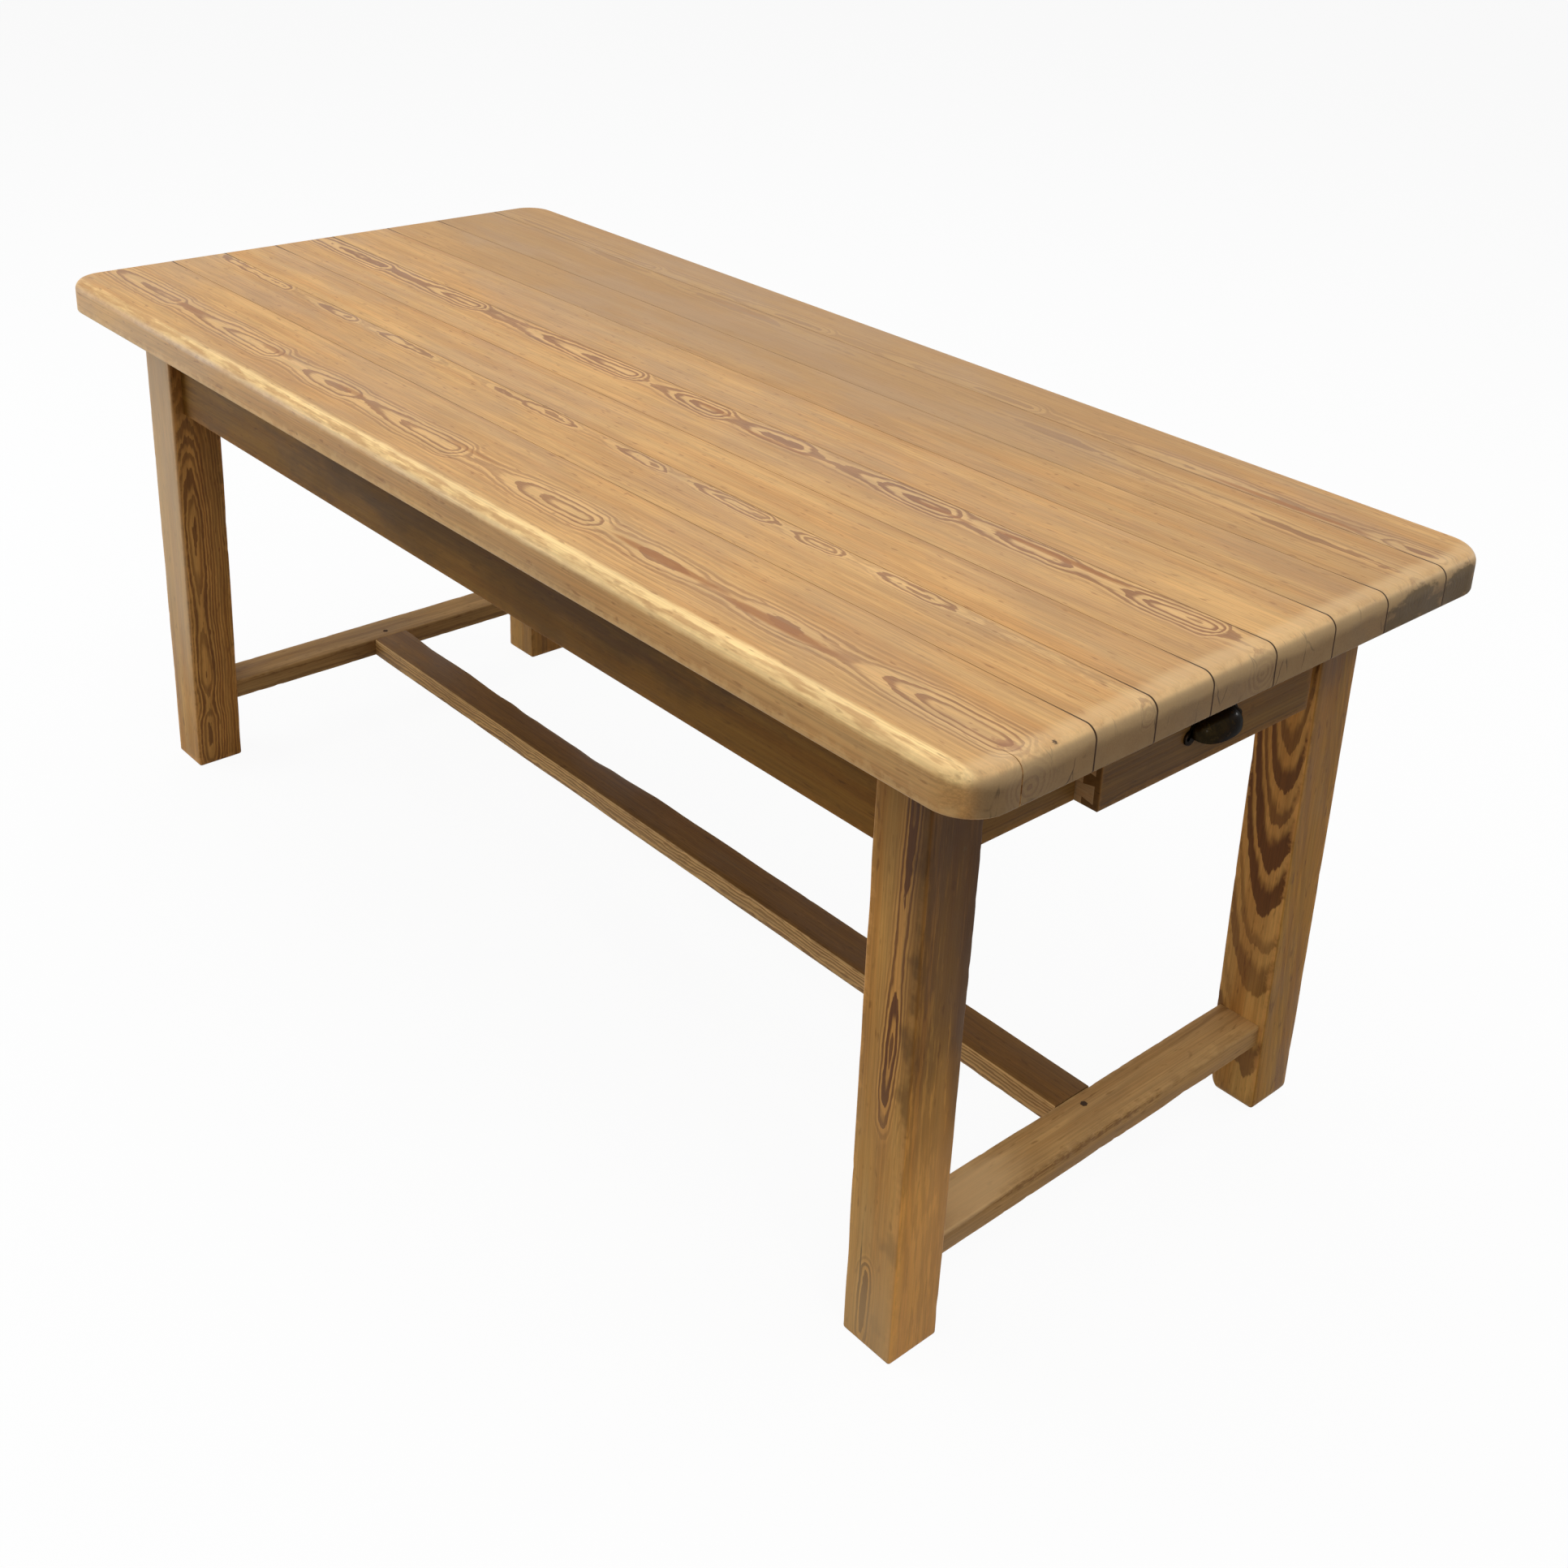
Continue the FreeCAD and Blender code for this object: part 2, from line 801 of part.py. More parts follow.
def pull_ear(side):
    """A rounded ear that carries one of the pull's screws."""
    inner = drawer_middle + side * (pull_half_width - pull_wall / 2)
    outer = drawer_middle + side * (pull_ear_reach - pull_ear_height / 2)
    tab = block(
        drawer_face_x, drawer_face_x + pull_plate_thickness,
        inner, outer,
        pull_axis_z - pull_ear_height / 2, pull_axis_z + pull_ear_height / 2,
    )
    end_point = vector(drawer_face_x, outer, pull_axis_z)
    return tab.fuse(Part.makeCylinder(pull_ear_height / 2, pull_plate_thickness, end_point, vector(1, 0, 0)))


def cup_pull(screws):
    """The cast cup pull: a hood open below, a rim against the drawer and an ear at each end."""
    axis_point = vector(drawer_face_x, drawer_middle, pull_axis_z)
    axis = vector(0, 1, 0)
    rim = closed_half(pull_half_width + pull_rim, pull_reach + pull_rim)
    plate = rim.extrude(vector(pull_plate_thickness, 0, 0)).fuse(pull_ear(-1)).fuse(pull_ear(1))
    hood = closed_half(pull_half_width, pull_reach).revolve(axis_point, axis, 90 + pull_lip_angle)
    hollow = closed_half(pull_half_width - pull_wall, pull_reach - pull_wall).revolve(axis_point, axis, 360)
    shape = hood.fuse(plate).cut(hollow)
    for item in screws:
        shape = shape.cut(item)
    return shape.Solids[0]


def build():
    """Builds every piece and writes its file."""
    os.makedirs("parts", exist_ok=True)
    for_battens = batten_screws()
    for_buttons = button_screws()
    for_runners = runner_screws(-1) + runner_screws(1)
    for_stop = stop_screws()
    for_pull = pull_screws()

    boards = top_boards(for_battens + for_buttons + for_runners + for_stop)
    for number, board in enumerate(boards, 1):
        export("top_board_" + str(number), board)
    for end, end_name in ((-1, "left"), (1, "right")):
        for side, side_name in ((-1, "front"), (1, "back")):
            export("leg_" + side_name + "_" + end_name, leg(end, side))
        export("end_stretcher_" + end_name, end_stretcher(end))
    export("apron_front", long_apron(-1))
    export("apron_back", long_apron(1))
    export("apron_left_end", plain_end_apron())
    export("apron_drawer_end", drawer_end_apron())
    export("centre_stretcher", centre_stretcher())
    export("stretcher_pegs", Part.makeCompound([stretcher_peg(-1), stretcher_peg(1)]))

    for x, name in zip(batten_places(), ("left", "right")):
        export("top_batten_" + name, batten(x, for_battens))
    export("batten_screws", Part.makeCompound(for_battens))
    buttons = [button(face, inward, for_buttons) for face, inward in button_places()]
    export("top_buttons", Part.makeCompound(buttons))
    export("button_screws", Part.makeCompound(for_buttons))

    export("drawer_runner_front", runner(-1, for_runners))
    export("drawer_runner_back", runner(1, for_runners))
    export("drawer_stop", drawer_stop(for_stop))
    export("runner_screws", Part.makeCompound(for_runners + for_stop))

    export("drawer_front", drawer_front(for_pull))
    export("drawer_side_front", drawer_side(-1))
    export("drawer_side_back", drawer_side(1))
    export("drawer_back", drawer_back_board())
    export("drawer_bottom", drawer_bottom_panel())
    export("cup_pull", cup_pull(for_pull))
    export("cup_pull_screws", Part.makeCompound(for_pull))


build()
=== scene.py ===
"""Dresses the farmhouse table.

Old waxed pine goes on every timber and dark bronze on the pull, in soft light on a white floor.
"""
import logging
import math
from dataclasses import dataclass, field, replace
from enum import Enum
from typing import Optional, Sequence, Union

import bmesh
import bpy
from mathutils import Matrix, Vector, noise


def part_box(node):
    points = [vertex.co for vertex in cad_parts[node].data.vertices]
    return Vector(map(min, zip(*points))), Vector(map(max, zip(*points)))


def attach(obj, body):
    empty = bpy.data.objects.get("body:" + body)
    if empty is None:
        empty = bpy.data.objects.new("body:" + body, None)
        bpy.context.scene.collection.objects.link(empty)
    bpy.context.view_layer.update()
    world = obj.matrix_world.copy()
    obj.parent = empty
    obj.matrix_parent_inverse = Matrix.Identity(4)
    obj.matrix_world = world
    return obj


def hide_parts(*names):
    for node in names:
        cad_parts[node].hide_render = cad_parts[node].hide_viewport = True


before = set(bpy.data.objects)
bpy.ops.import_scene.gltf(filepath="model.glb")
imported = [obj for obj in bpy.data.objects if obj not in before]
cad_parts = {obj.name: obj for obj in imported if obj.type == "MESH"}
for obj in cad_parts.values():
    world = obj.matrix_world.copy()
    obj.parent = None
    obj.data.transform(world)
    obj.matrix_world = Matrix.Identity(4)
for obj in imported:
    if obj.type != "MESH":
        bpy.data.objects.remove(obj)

log = logging.getLogger("farmhouse_table")

Colour = tuple[float, float, float]
Triple = tuple[float, float, float]
Box = tuple[Vector, Vector]
Socket = bpy.types.NodeSocket
Value = Union[Socket, float, Sequence[float]]

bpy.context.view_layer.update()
MM = 0.001
HALF = 0.5


class Grain(Enum):
    """The axis that a timber's fibres run along."""

    ALONG_X = (0, 1, 2)
    ALONG_Y = (1, 2, 0)
    ALONG_Z = (2, 0, 1)
    ALONG_Z_TURNED = (2, 1, 0)


class Socketed(Enum):
    """The kinds of socket that a shared node group can have."""

    NUMBER = "NodeSocketFloat"
    VECTOR = "NodeSocketVector"


def tint(red: int, green: int, blue: int) -> Colour:
    """Turns a screen colour of 0 to 255 into the linear colour that shaders use.

    Args:
        red: Red on screen.
        green: Green on screen.
        blue: Blue on screen.

    Returns:
        The linear colour.
    """
    def linear(level: int) -> float:
        """One channel of the linear colour."""
        share = level / 255
        return share / 12.92 if share <= 0.04045 else ((share + 0.055) / 1.055) ** 2.4

    return linear(red), linear(green), linear(blue)


def even(fineness: float) -> Triple:
    """The same fineness on every axis."""
    return fineness, fineness, fineness


@dataclass(frozen=True)
class Speckle:
    """Noise that is drawn out along the grain, and the part of it that shows.

    Attributes:
        stretch: How fine it is along the grain and on the two axes across it, per metre.
        detail: How many finer layers it has.
        rough: How strong those layers are.
        low: The level up to which nothing shows.
        high: The level from which all of it shows.
        least: The value where nothing shows.
        most: The value where all of it shows.
    """

    stretch: Triple
    detail: float = 3.0
    rough: float = 0.6
    low: float = 0.28
    high: float = 0.72
    least: float = 0.0
    most: float = 1.0


PITH_WAVES = Speckle(even(3.1), 1.5, 0.45)
RING_RIPPLES = Speckle((13.0, 30.0, 30.0), 3.5, 0.62)
RING_FEATHERS = Speckle((15.0, 210.0, 210.0), 3.0, 0.65)
BOLD_ZONES = Speckle((1.4, 17.0, 17.0), 2.0, 0.5, 0.36, 0.62, 0.2, 0.8)
FINE_FIBRES = Speckle((7.0, 520.0, 520.0))
BROAD_FIBRES = Speckle((1.6, 46.0, 46.0))
FIBRE_CLOUDS = Speckle((8.0, 40.0, 40.0), 5.0)
RESIN_DUCTS = Speckle((42.0, 760.0, 760.0), 1.0, 0.5, 0.73, 0.82)
DARK_FLECKS = Speckle((46.0, 190.0, 190.0), 1.0, 0.5, 0.63, 0.77)
HANDLED_BLOTCHES = Speckle((3.25, 9.75, 9.75), 5.0, 0.62, 0.34, 0.7)
PALE_SCRATCHES = Speckle((144.0, 45.0, 144.0), 3.0, 0.75, 0.68, 0.78)
ARRIS_KNOCKS = Speckle(even(55.0), 4.0, 0.65, 0.3, 0.75, 0.25, 1.6)
CHECK_BENDS = Speckle(even(60.0), 2.0, 0.5)
CHECK_BREAKS = Speckle(even(26.0), 2.0, 0.5, 0.48, 0.62)
JOINT_BENDS = Speckle(even(40.0), 3.0, 0.5)
JOINT_BREAKS = Speckle(even(14.0), 3.0, 0.5, 0.42, 0.64, 0.06, 0.42)
METAL_CLOUDS = Speckle(even(130.0), 4.0)
METAL_GRIT = Speckle(even(900.0), 2.0)


class Graph:
    """Short ways to add and join shader nodes in one node tree."""

    def __init__(self, tree: bpy.types.NodeTree) -> None:
        """Keeps the tree that nodes go into."""
        self.tree = tree

    def add(self, kind: str, **settings: object) -> bpy.types.Node:
        """Adds a node.

        Args:
            kind: The node's type name.
            **settings: Properties to set on the node.

        Returns:
            The new node.
        """
        node = self.tree.nodes.new(kind)
        for name, value in settings.items():
            setattr(node, name, value)
        return node

    def feed(self, socket: Socket, value: Optional[Value]) -> None:
        """Links a socket to another, or sets its own value.

        Args:
            socket: The input socket.
            value: A socket, a number or a vector. None leaves the socket alone.
        """
        if value is None:
            return
        if isinstance(value, bpy.types.NodeSocket):
            self.tree.links.new(value, socket)
        elif isinstance(value, (int, float)):
            socket.default_value = value
        else:
            wanted = len(socket.default_value)
            socket.default_value = (tuple(value) + (1.0,))[:wanted]

    def math(
        self, operation: str, first: Value, second: Optional[Value] = None, clamp: bool = False
    ) -> Socket:
        """Joins one or two numbers by a Math node.

        Args:
            operation: The Math node's operation.
            first: The first number.
            second: The second number, if the operation has one.
            clamp: Whether the result is held between 0 and 1.

        Returns:
            The result.
        """
        node = self.add("ShaderNodeMath", operation=operation, use_clamp=clamp)
        self.feed(node.inputs[0], first)
        self.feed(node.inputs[1], second)
        return node.outputs[0]

    def times(self, first: Value, second: Value) -> Socket:
        """Multiplies two numbers."""
        return self.math("MULTIPLY", first, second)

    def plus(self, first: Value, second: Value) -> Socket:
        """Adds two numbers."""
        return self.math("ADD", first, second)

    def less(self, first: Value, second: Value) -> Socket:
        """Takes the second number from the first."""
        return self.math("SUBTRACT", first, second)

    def vector(self, operation: str, first: Value, second: Optional[Value] = None) -> Socket:
        """Joins one or two vectors by a Vector Math node.

        Args:
            operation: The Vector Math node's operation.
            first: The first vector.
            second: The second vector, if the operation has one.

        Returns:
            The resulting vector, or number where the operation gives one.
        """
        node = self.add("ShaderNodeVectorMath", operation=operation)
        self.feed(node.inputs[0], first)
        self.feed(node.inputs[1], second)
        number = operation in {"DOT_PRODUCT", "LENGTH", "DISTANCE"}
        return node.outputs[1] if number else node.outputs[0]

    def split(self, vector: Value) -> tuple[Socket, Socket, Socket]:
        """Splits a vector.

        Args:
            vector: The vector.

        Returns:
            Its three numbers.
        """
        node = self.add("ShaderNodeSeparateXYZ")
        self.feed(node.inputs[0], vector)
        return node.outputs[0], node.outputs[1], node.outputs[2]

    def join(self, x: Value, y: Value, z: Value) -> Socket:
        """Makes a vector of three numbers.

        Args:
            x: The first number.
            y: The second number.
            z: The third number.

        Returns:
            The vector.
        """
        node = self.add("ShaderNodeCombineXYZ")
        for socket, value in zip(node.inputs, (x, y, z)):
            self.feed(socket, value)
        return node.outputs[0]

    def ramp(self, value: Value, low: Value, high: Value, start: float = 0.0, end: float = 1.0) -> Socket:
        """Maps a number smoothly from one range to another and holds it there.

        Args:
            value: The number.
            low: Where the range starts.
            high: Where the range ends.
            start: The result at and below low.
            end: The result at and above high.

        Returns:
            The mapped number.
        """
        node = self.add("ShaderNodeMapRange", interpolation_type="SMOOTHSTEP")
        for socket, number in zip(node.inputs, (value, low, high, start, end)):
            self.feed(socket, number)
        return node.outputs[0]

    def noise(self, vector: Value, detail: float, rough: float = 0.5) -> tuple[Socket, Socket]:
        """Adds soft noise with one swell to each unit of length.

        Args:
            vector: The place that is read.
            detail: How many finer layers it has.
            rough: How strong those layers are.

        Returns:
            The noise as a number and as a colour.
        """
        node = self.add("ShaderNodeTexNoise")
        self.feed(node.inputs["Vector"], vector)
        node.inputs["Scale"].default_value = 1.0
        node.inputs["Detail"].default_value = detail
        node.inputs["Roughness"].default_value = rough
        return node.outputs[0], node.outputs[1]

    def drawn(self, place: Value, kind: Speckle, shift: Optional[Value] = None) -> tuple[Socket, Socket]:
        """Adds noise that is drawn out along the grain.

        Args:
            place: The place that is read.
            kind: How the noise is drawn out.
            shift: How far on it is read, so that timbers differ.

        Returns:
            The noise as a number and as a colour.
        """
        spot = self.vector("MULTIPLY", place, kind.stretch)
        if shift is not None:
            spot = self.vector("ADD", spot, shift)
        return self.noise(spot, kind.detail, kind.rough)

    def speckle(self, place: Value, kind: Speckle, shift: Optional[Value] = None) -> Socket:
        """Adds the part of drawn-out noise that shows."""
        level = self.drawn(place, kind, shift)[0]
        return self.ramp(level, kind.low, kind.high, kind.least, kind.most)

    def mix(self, share: Value, first: Value, second: Value, blend: str = "MIX") -> Socket:
        """Mixes two colours.

        Args:
            share: How much of the second colour is used.
            first: The first colour.
            second: The second colour.
            blend: How they are mixed.

        Returns:
            The mixed colour.
        """
        node = self.add("ShaderNodeMix", data_type="RGBA", blend_type=blend)
        self.feed(node.inputs[0], share)
        self.feed(node.inputs[6], first)
        self.feed(node.inputs[7], second)
        return node.outputs[2]

    def cover(self, colour: Value, mask: Value, strength: float, paint: Value) -> Socket:
        """Lays a paint over a colour through a mask, as far as its strength goes."""
        return self.mix(self.times(mask, strength), colour, paint)

    def bump(self, shader: bpy.types.Node, height: Socket, strength: float, distance: float) -> None:
        """Makes a shader's surface stand up by a height.

        Args:
            shader: The shader.
            height: The height from 0 to 1.
            strength: How strongly it shows.
            distance: What the whole height measures, in metres.
        """
        node = self.add("ShaderNodeBump")
        node.inputs["Strength"].default_value = strength
        node.inputs["Distance"].default_value = distance
        self.feed(node.inputs["Height"], height)
        self.feed(shader.inputs["Normal"], node.outputs["Normal"])

    def group(self, tree: bpy.types.NodeTree, **inputs: Value) -> bpy.types.Node:
        """Places a shared group.

        Args:
            tree: The group.
            **inputs: Values for its inputs, with underscores for the spaces in their names.

        Returns:
            The group's node.
        """
        node = self.add("ShaderNodeGroup", node_tree=tree)
        for name, value in inputs.items():
            self.feed(node.inputs[name.replace("_", " ")], value)
        return node


class SharedGroups:
    """The shader node groups that several finishes use. They read places in metres.

    Attributes:
        LOG_SHIFT: How far on the rings of the next log are read, for each unit of its seed.
        FIBRE_SHIFT: How far on its fibres are read, as a factor of its seed and a fixed step.
        UNEVEN_RATE, UNEVEN_SHARE: How fast the width of rings changes, and how much of it.
        LATE_START, LATE_SPREAD: Where in a ring its latewood starts, and how much sooner it may.
        LATE_RISE, LATE_END: The share of a ring in which it darkens, and from which it fades.
        BOLD: The chances between which rings go from faint to bold, and how strong both are.
        CORE_FULL, CORE_FAINT: The share of the core that is boldest, and its faintest ring.
        DENT_CELLS, DENT_CHANCE: How many dents a metre could have, and the chances of one.
        DENT_SIZE: Where a dent starts to rise and where it ends, as shares of its cell.
        CHECK_BEND, CHECK_CELLS: How far a drying crack bends, and how close cracks are.
        CHECK_WIDTH, CHECK_DEPTH: Where a crack fades, as shares of its cell, and how dark it is.
        JOINT_BEND, JOINT_WIDTH: How far the line of a joint strays, and half its width.
        JOINT_OPENING, JOINT_DARK: How much wider it opens, and the share that is fully dark.
    """

    LOG_SHIFT = (7.13, 3.71)
    FIBRE_SHIFT = (2.3, 1.7)
    UNEVEN_RATE = 0.37
    UNEVEN_SHARE = 0.8
    LATE_START = 0.52
    LATE_SPREAD = 0.42
    LATE_RISE = 0.34
    LATE_END = 0.94
    BOLD = (0.15, 0.95, 0.22, 1.0)
    CORE_FULL = 0.45
    CORE_FAINT = 0.6
    DENT_CELLS = 26.0
    DENT_CHANCE = (0.80, 0.82)
    DENT_SIZE = (0.02, 0.09)
    CHECK_BEND = (0.0, 0.007, 0.012)
    CHECK_CELLS = (4.0, 36.0, 9.0)
    CHECK_WIDTH = (0.003, 0.022)
    CHECK_DEPTH = 0.85
    JOINT_BEND = 0.0012
    JOINT_WIDTH = 0.0007
    JOINT_OPENING = 0.0010
    JOINT_DARK = 0.4

    def __init__(self) -> None:
        """Builds every group once."""
        self.rings = self._growth_rings()
        self.fibres = self._fibres()
        self.arris = self._arris()
        self.patina = self._patina()
        self.mark = self._mark()
        self.checks = self._checks()
        self.joints = self._joints()

    def _start(
        self, name: str, vectors: Sequence[str], numbers: Sequence[str], results: Sequence[str]
    ) -> tuple[Graph, dict[str, Socket], bpy.types.Node]:
        """Makes an empty group with its sockets.

        Args:
            name: The group's name.
            vectors: Its inputs that are vectors.
            numbers: Its inputs that are numbers.
            results: Its outputs, which are all numbers.

        Returns:
            The graph, its inputs by name, and the node that takes its outputs.
        """
        tree = bpy.data.node_groups.new(name, "ShaderNodeTree")
        for side, kind, labels in (
            ("INPUT", Socketed.VECTOR, vectors), ("INPUT", Socketed.NUMBER, numbers),
            ("OUTPUT", Socketed.NUMBER, results),
        ):
            for label in labels:
                tree.interface.new_socket(name=label, in_out=side, socket_type=kind.value)
        graph = Graph(tree)
        source = graph.add("NodeGroupInput")
        given = {label: source.outputs[label] for label in (*vectors, *numbers)}
        return graph, given, graph.add("NodeGroupOutput")

    def _end(self, graph: Graph, result: bpy.types.Node, **values: Socket) -> bpy.types.NodeTree:
        """Finishes a group.

        Args:
            graph: The group's graph.
            result: The node that takes its outputs.
            **values: The values for its outputs, by name.

        Returns:
            The group.
        """
        for label, value in values.items():
            graph.feed(result.inputs[label], value)
        return graph.tree

    def _growth_rings(self) -> bpy.types.NodeTree:
        """Annual rings about a wandering pith, read in the timber's own directions.

        Returns:
            The group.
        """
        graph, given, result = self._start(
            "growth rings", ("Place", "Lean"),
            ("Pith Across", "Pith Up", "Ring", "Wander", "Ripple", "Feather", "Seed", "Body", "Core"),
            ("Latewood", "Heart"),
        )
        place, seed = given["Place"], given["Seed"]
        along, across, up = graph.split(place)
        shift = graph.join(*(graph.times(seed, step) for step in self.LOG_SHIFT), 0.0)
        slow = graph.vector("ADD", graph.join(along, 0.0, 0.0), shift)
        middle = even(HALF)
        waves = graph.split(graph.vector("SUBTRACT", graph.drawn(slow, PITH_WAVES)[1], middle))
        ripples = graph.split(graph.vector("SUBTRACT", graph.drawn(place, RING_RIPPLES, shift)[1], middle))
        leans = graph.split(given["Lean"])
        piths = (given["Pith Across"], given["Pith Up"])
        squares = []
        for spot, pith, lean, wave, ripple in zip((across, up), piths, leans, waves, ripples):
            offset = graph.less(graph.less(spot, pith), graph.times(lean, along))
            offset = graph.plus(offset, graph.times(wave, given["Wander"]))
            offset = graph.plus(offset, graph.times(ripple, given["Ripple"]))
            squares.append(graph.times(offset, offset))
        radius = graph.math("SQRT", graph.plus(*squares))
        feather = graph.less(graph.drawn(place, RING_FEATHERS, shift)[0], HALF)
        radius = graph.plus(radius, graph.times(feather, given["Feather"]))

        count = graph.math("DIVIDE", radius, given["Ring"])
        uneven = graph.noise(graph.join(graph.times(count, self.UNEVEN_RATE), seed, 0.0), detail=1.0)[0]
        count = graph.plus(count, graph.times(uneven, self.UNEVEN_SHARE))
        part = graph.math("FRACT", count)
        draw = graph.add("ShaderNodeTexWhiteNoise", noise_dimensions="2D")
        graph.feed(draw.inputs["Vector"], graph.join(graph.math("FLOOR", count), seed, 0.0))
        chance = draw.outputs[0]
        start = graph.less(self.LATE_START, graph.times(chance, self.LATE_SPREAD))
        rise = graph.ramp(part, start, graph.plus(start, self.LATE_RISE))
        fall = graph.ramp(part, self.LATE_END, 1.0, 1.0, 0.0)

        core = graph.ramp(radius, graph.times(given["Core"], self.CORE_FULL), given["Core"], 1.0, 0.0)
        heart = graph.times(core, graph.ramp(chance, 0.0, 1.0, self.CORE_FAINT, 1.0))
        bold = graph.times(graph.ramp(chance, *self.BOLD), graph.speckle(place, BOLD_ZONES, shift))
        strength = graph.math("MAXIMUM", graph.times(bold, given["Body"]), heart)
        dark = graph.times(graph.times(rise, fall), strength)
        return self._end(graph, result, Latewood=dark, Heart=core)

    def _fibres(self) -> bpy.types.NodeTree:
        """Streaks along the grain, the short dark dashes of resin ducts, and flecks.

        Returns:
            The group.
        """
        kinds = {
            "Fine": FINE_FIBRES, "Broad": BROAD_FIBRES, "Cloud": FIBRE_CLOUDS, "Ducts": RESIN_DUCTS,
            "Flecks": DARK_FLECKS,
        }
        graph, given, result = self._start("wood fibres", ("Place",), ("Seed",), tuple(kinds))
        factor, step = self.FIBRE_SHIFT
        shift = graph.join(given["Seed"], graph.times(given["Seed"], factor), step)
        shown = {label: graph.speckle(given["Place"], kind, shift) for label, kind in kinds.items()}
        return self._end(graph, result, **shown)

    def _arris(self) -> bpy.types.NodeTree:
        """How near a place is to the edges of a box, broken up as wear is.

        Returns:
            The group.
        """
        graph, given, result = self._start("arris wear", ("Place", "Middle", "Half"), ("Width",), ("Edge",))
        offset = graph.vector("ABSOLUTE", graph.vector("SUBTRACT", given["Place"], given["Middle"]))
        x, y, z = graph.split(graph.vector("SUBTRACT", given["Half"], offset))
        pairs = [graph.math("MAXIMUM", first, second) for first, second in ((x, y), (y, z), (z, x))]
        inset = graph.math("MINIMUM", graph.math("MINIMUM", pairs[0], pairs[1]), pairs[2])
        reach = graph.times(given["Width"], graph.speckle(given["Place"], ARRIS_KNOCKS))
        return self._end(graph, result, Edge=graph.ramp(inset, 0.0, reach, 1.0, 0.0))

    def _patina(self) -> bpy.types.NodeTree:
        """Slow blotches of handling and wax, small dents and pale scratches.

        Returns:
            The group.
        """
        graph, given, result = self._start("patina", ("Place",), ("Seed",), ("Blotch", "Dents", "Scratches"))
        place = graph.vector("ADD", given["Place"], graph.join(given["Seed"], 0.0, given["Seed"]))
        cells = graph.add("ShaderNodeTexVoronoi", feature="F1")
        graph.feed(cells.inputs["Vector"], place)
        cells.inputs["Scale"].default_value = self.DENT_CELLS
        kept = graph.ramp(graph.split(cells.outputs["Color"])[0], *self.DENT_CHANCE)
        dents = graph.times(graph.ramp(cells.outputs["Distance"], *self.DENT_SIZE, 1.0, 0.0), kept)
        blotch, scratches = (graph.speckle(place, kind) for kind in (HANDLED_BLOTCHES, PALE_SCRATCHES))
        return self._end(graph, result, Blotch=blotch, Dents=dents, Scratches=scratches)

    def _checks(self) -> bpy.types.NodeTree:
        """The dark drying cracks of end grain.

        Returns:
            The group.
        """
        graph, given, result = self._start("end checks", ("Place",), ("Seed",), ("Checks",))
        place, seed = given["Place"], given["Seed"]
        bend = graph.vector("MULTIPLY", graph.drawn(place, CHECK_BENDS)[1], self.CHECK_BEND)
        spread = graph.vector("MULTIPLY", graph.vector("ADD", place, bend), self.CHECK_CELLS)
        cells = graph.add("ShaderNodeTexVoronoi", feature="DISTANCE_TO_EDGE")
        graph.feed(cells.inputs["Vector"], graph.vector("ADD", spread, graph.join(seed, seed, 0.0)))
        cells.inputs["Scale"].default_value = 1.0
        line = graph.ramp(cells.outputs["Distance"], *self.CHECK_WIDTH, self.CHECK_DEPTH, 0.0)
        return self._end(graph, result, Checks=graph.times(line, graph.speckle(place, CHECK_BREAKS)))

    def _joints(self) -> bpy.types.NodeTree:
        """The dark line where two boards meet, open towards the ends of the top.

        Returns:
            The group.
        """
        graph, given, result = self._start(
            "board joint", ("Place",), ("Joint", "Open From", "Open At"), ("Line",)
        )
        along, across, _ = graph.split(given["Place"])
        strayed = graph.less(graph.drawn(given["Place"], JOINT_BENDS)[0], HALF)
        inset = graph.plus(graph.less(across, given["Joint"]), graph.times(strayed, self.JOINT_BEND))
        opened = graph.ramp(graph.math("ABSOLUTE", along), given["Open From"], given["Open At"])
        width = graph.plus(graph.times(opened, self.JOINT_OPENING), self.JOINT_WIDTH)
        dark = graph.times(width, self.JOINT_DARK)
        line = graph.ramp(graph.math("ABSOLUTE", inset), dark, width, 1.0, 0.0)
        shown = graph.math("MAXIMUM", opened, graph.speckle(given["Place"], JOINT_BREAKS))
        return self._end(graph, result, Line=graph.times(line, shown))

    def _mark(self) -> bpy.types.NodeTree:
        """A single soft-edged spot, patch or crack at one place.

        Returns:
            The group.
        """
        graph, given, result = self._start(
            "mark", ("Place", "Middle", "Size", "Streaks"), ("Ragged",), ("Mask",)
        )
        offset = graph.vector("SUBTRACT", given["Place"], given["Middle"])
        offset = graph.vector("DIVIDE", offset, given["Size"])
        streaked = graph.vector("MULTIPLY", offset, given["Streaks"])
        uneven = graph.less(graph.noise(streaked, detail=3.0, rough=0.6)[0], HALF)
        distance = graph.plus(graph.vector("LENGTH", offset), graph.times(uneven, given["Ragged"]))
        return self._end(graph, result, Mask=graph.ramp(distance, HALF, 1.0, 1.0, 0.0))


@dataclass(frozen=True)
class Mark:
    """A spot, stain or crack on one timber.

    Attributes:
        middle: Its middle in metres.
        size: Its half size on each axis in metres.
        colour: Its colour.
        strength: How far it covers the wood.
        streaks: How many times it breaks up along each axis.
        ragged: How far its edge breaks up.
    """

    middle: Triple
    size: Triple
    colour: Colour
    strength: float = 0.8
    streaks: Triple = (1.5, 1.5, 1.5)
    ragged: float = 2.4


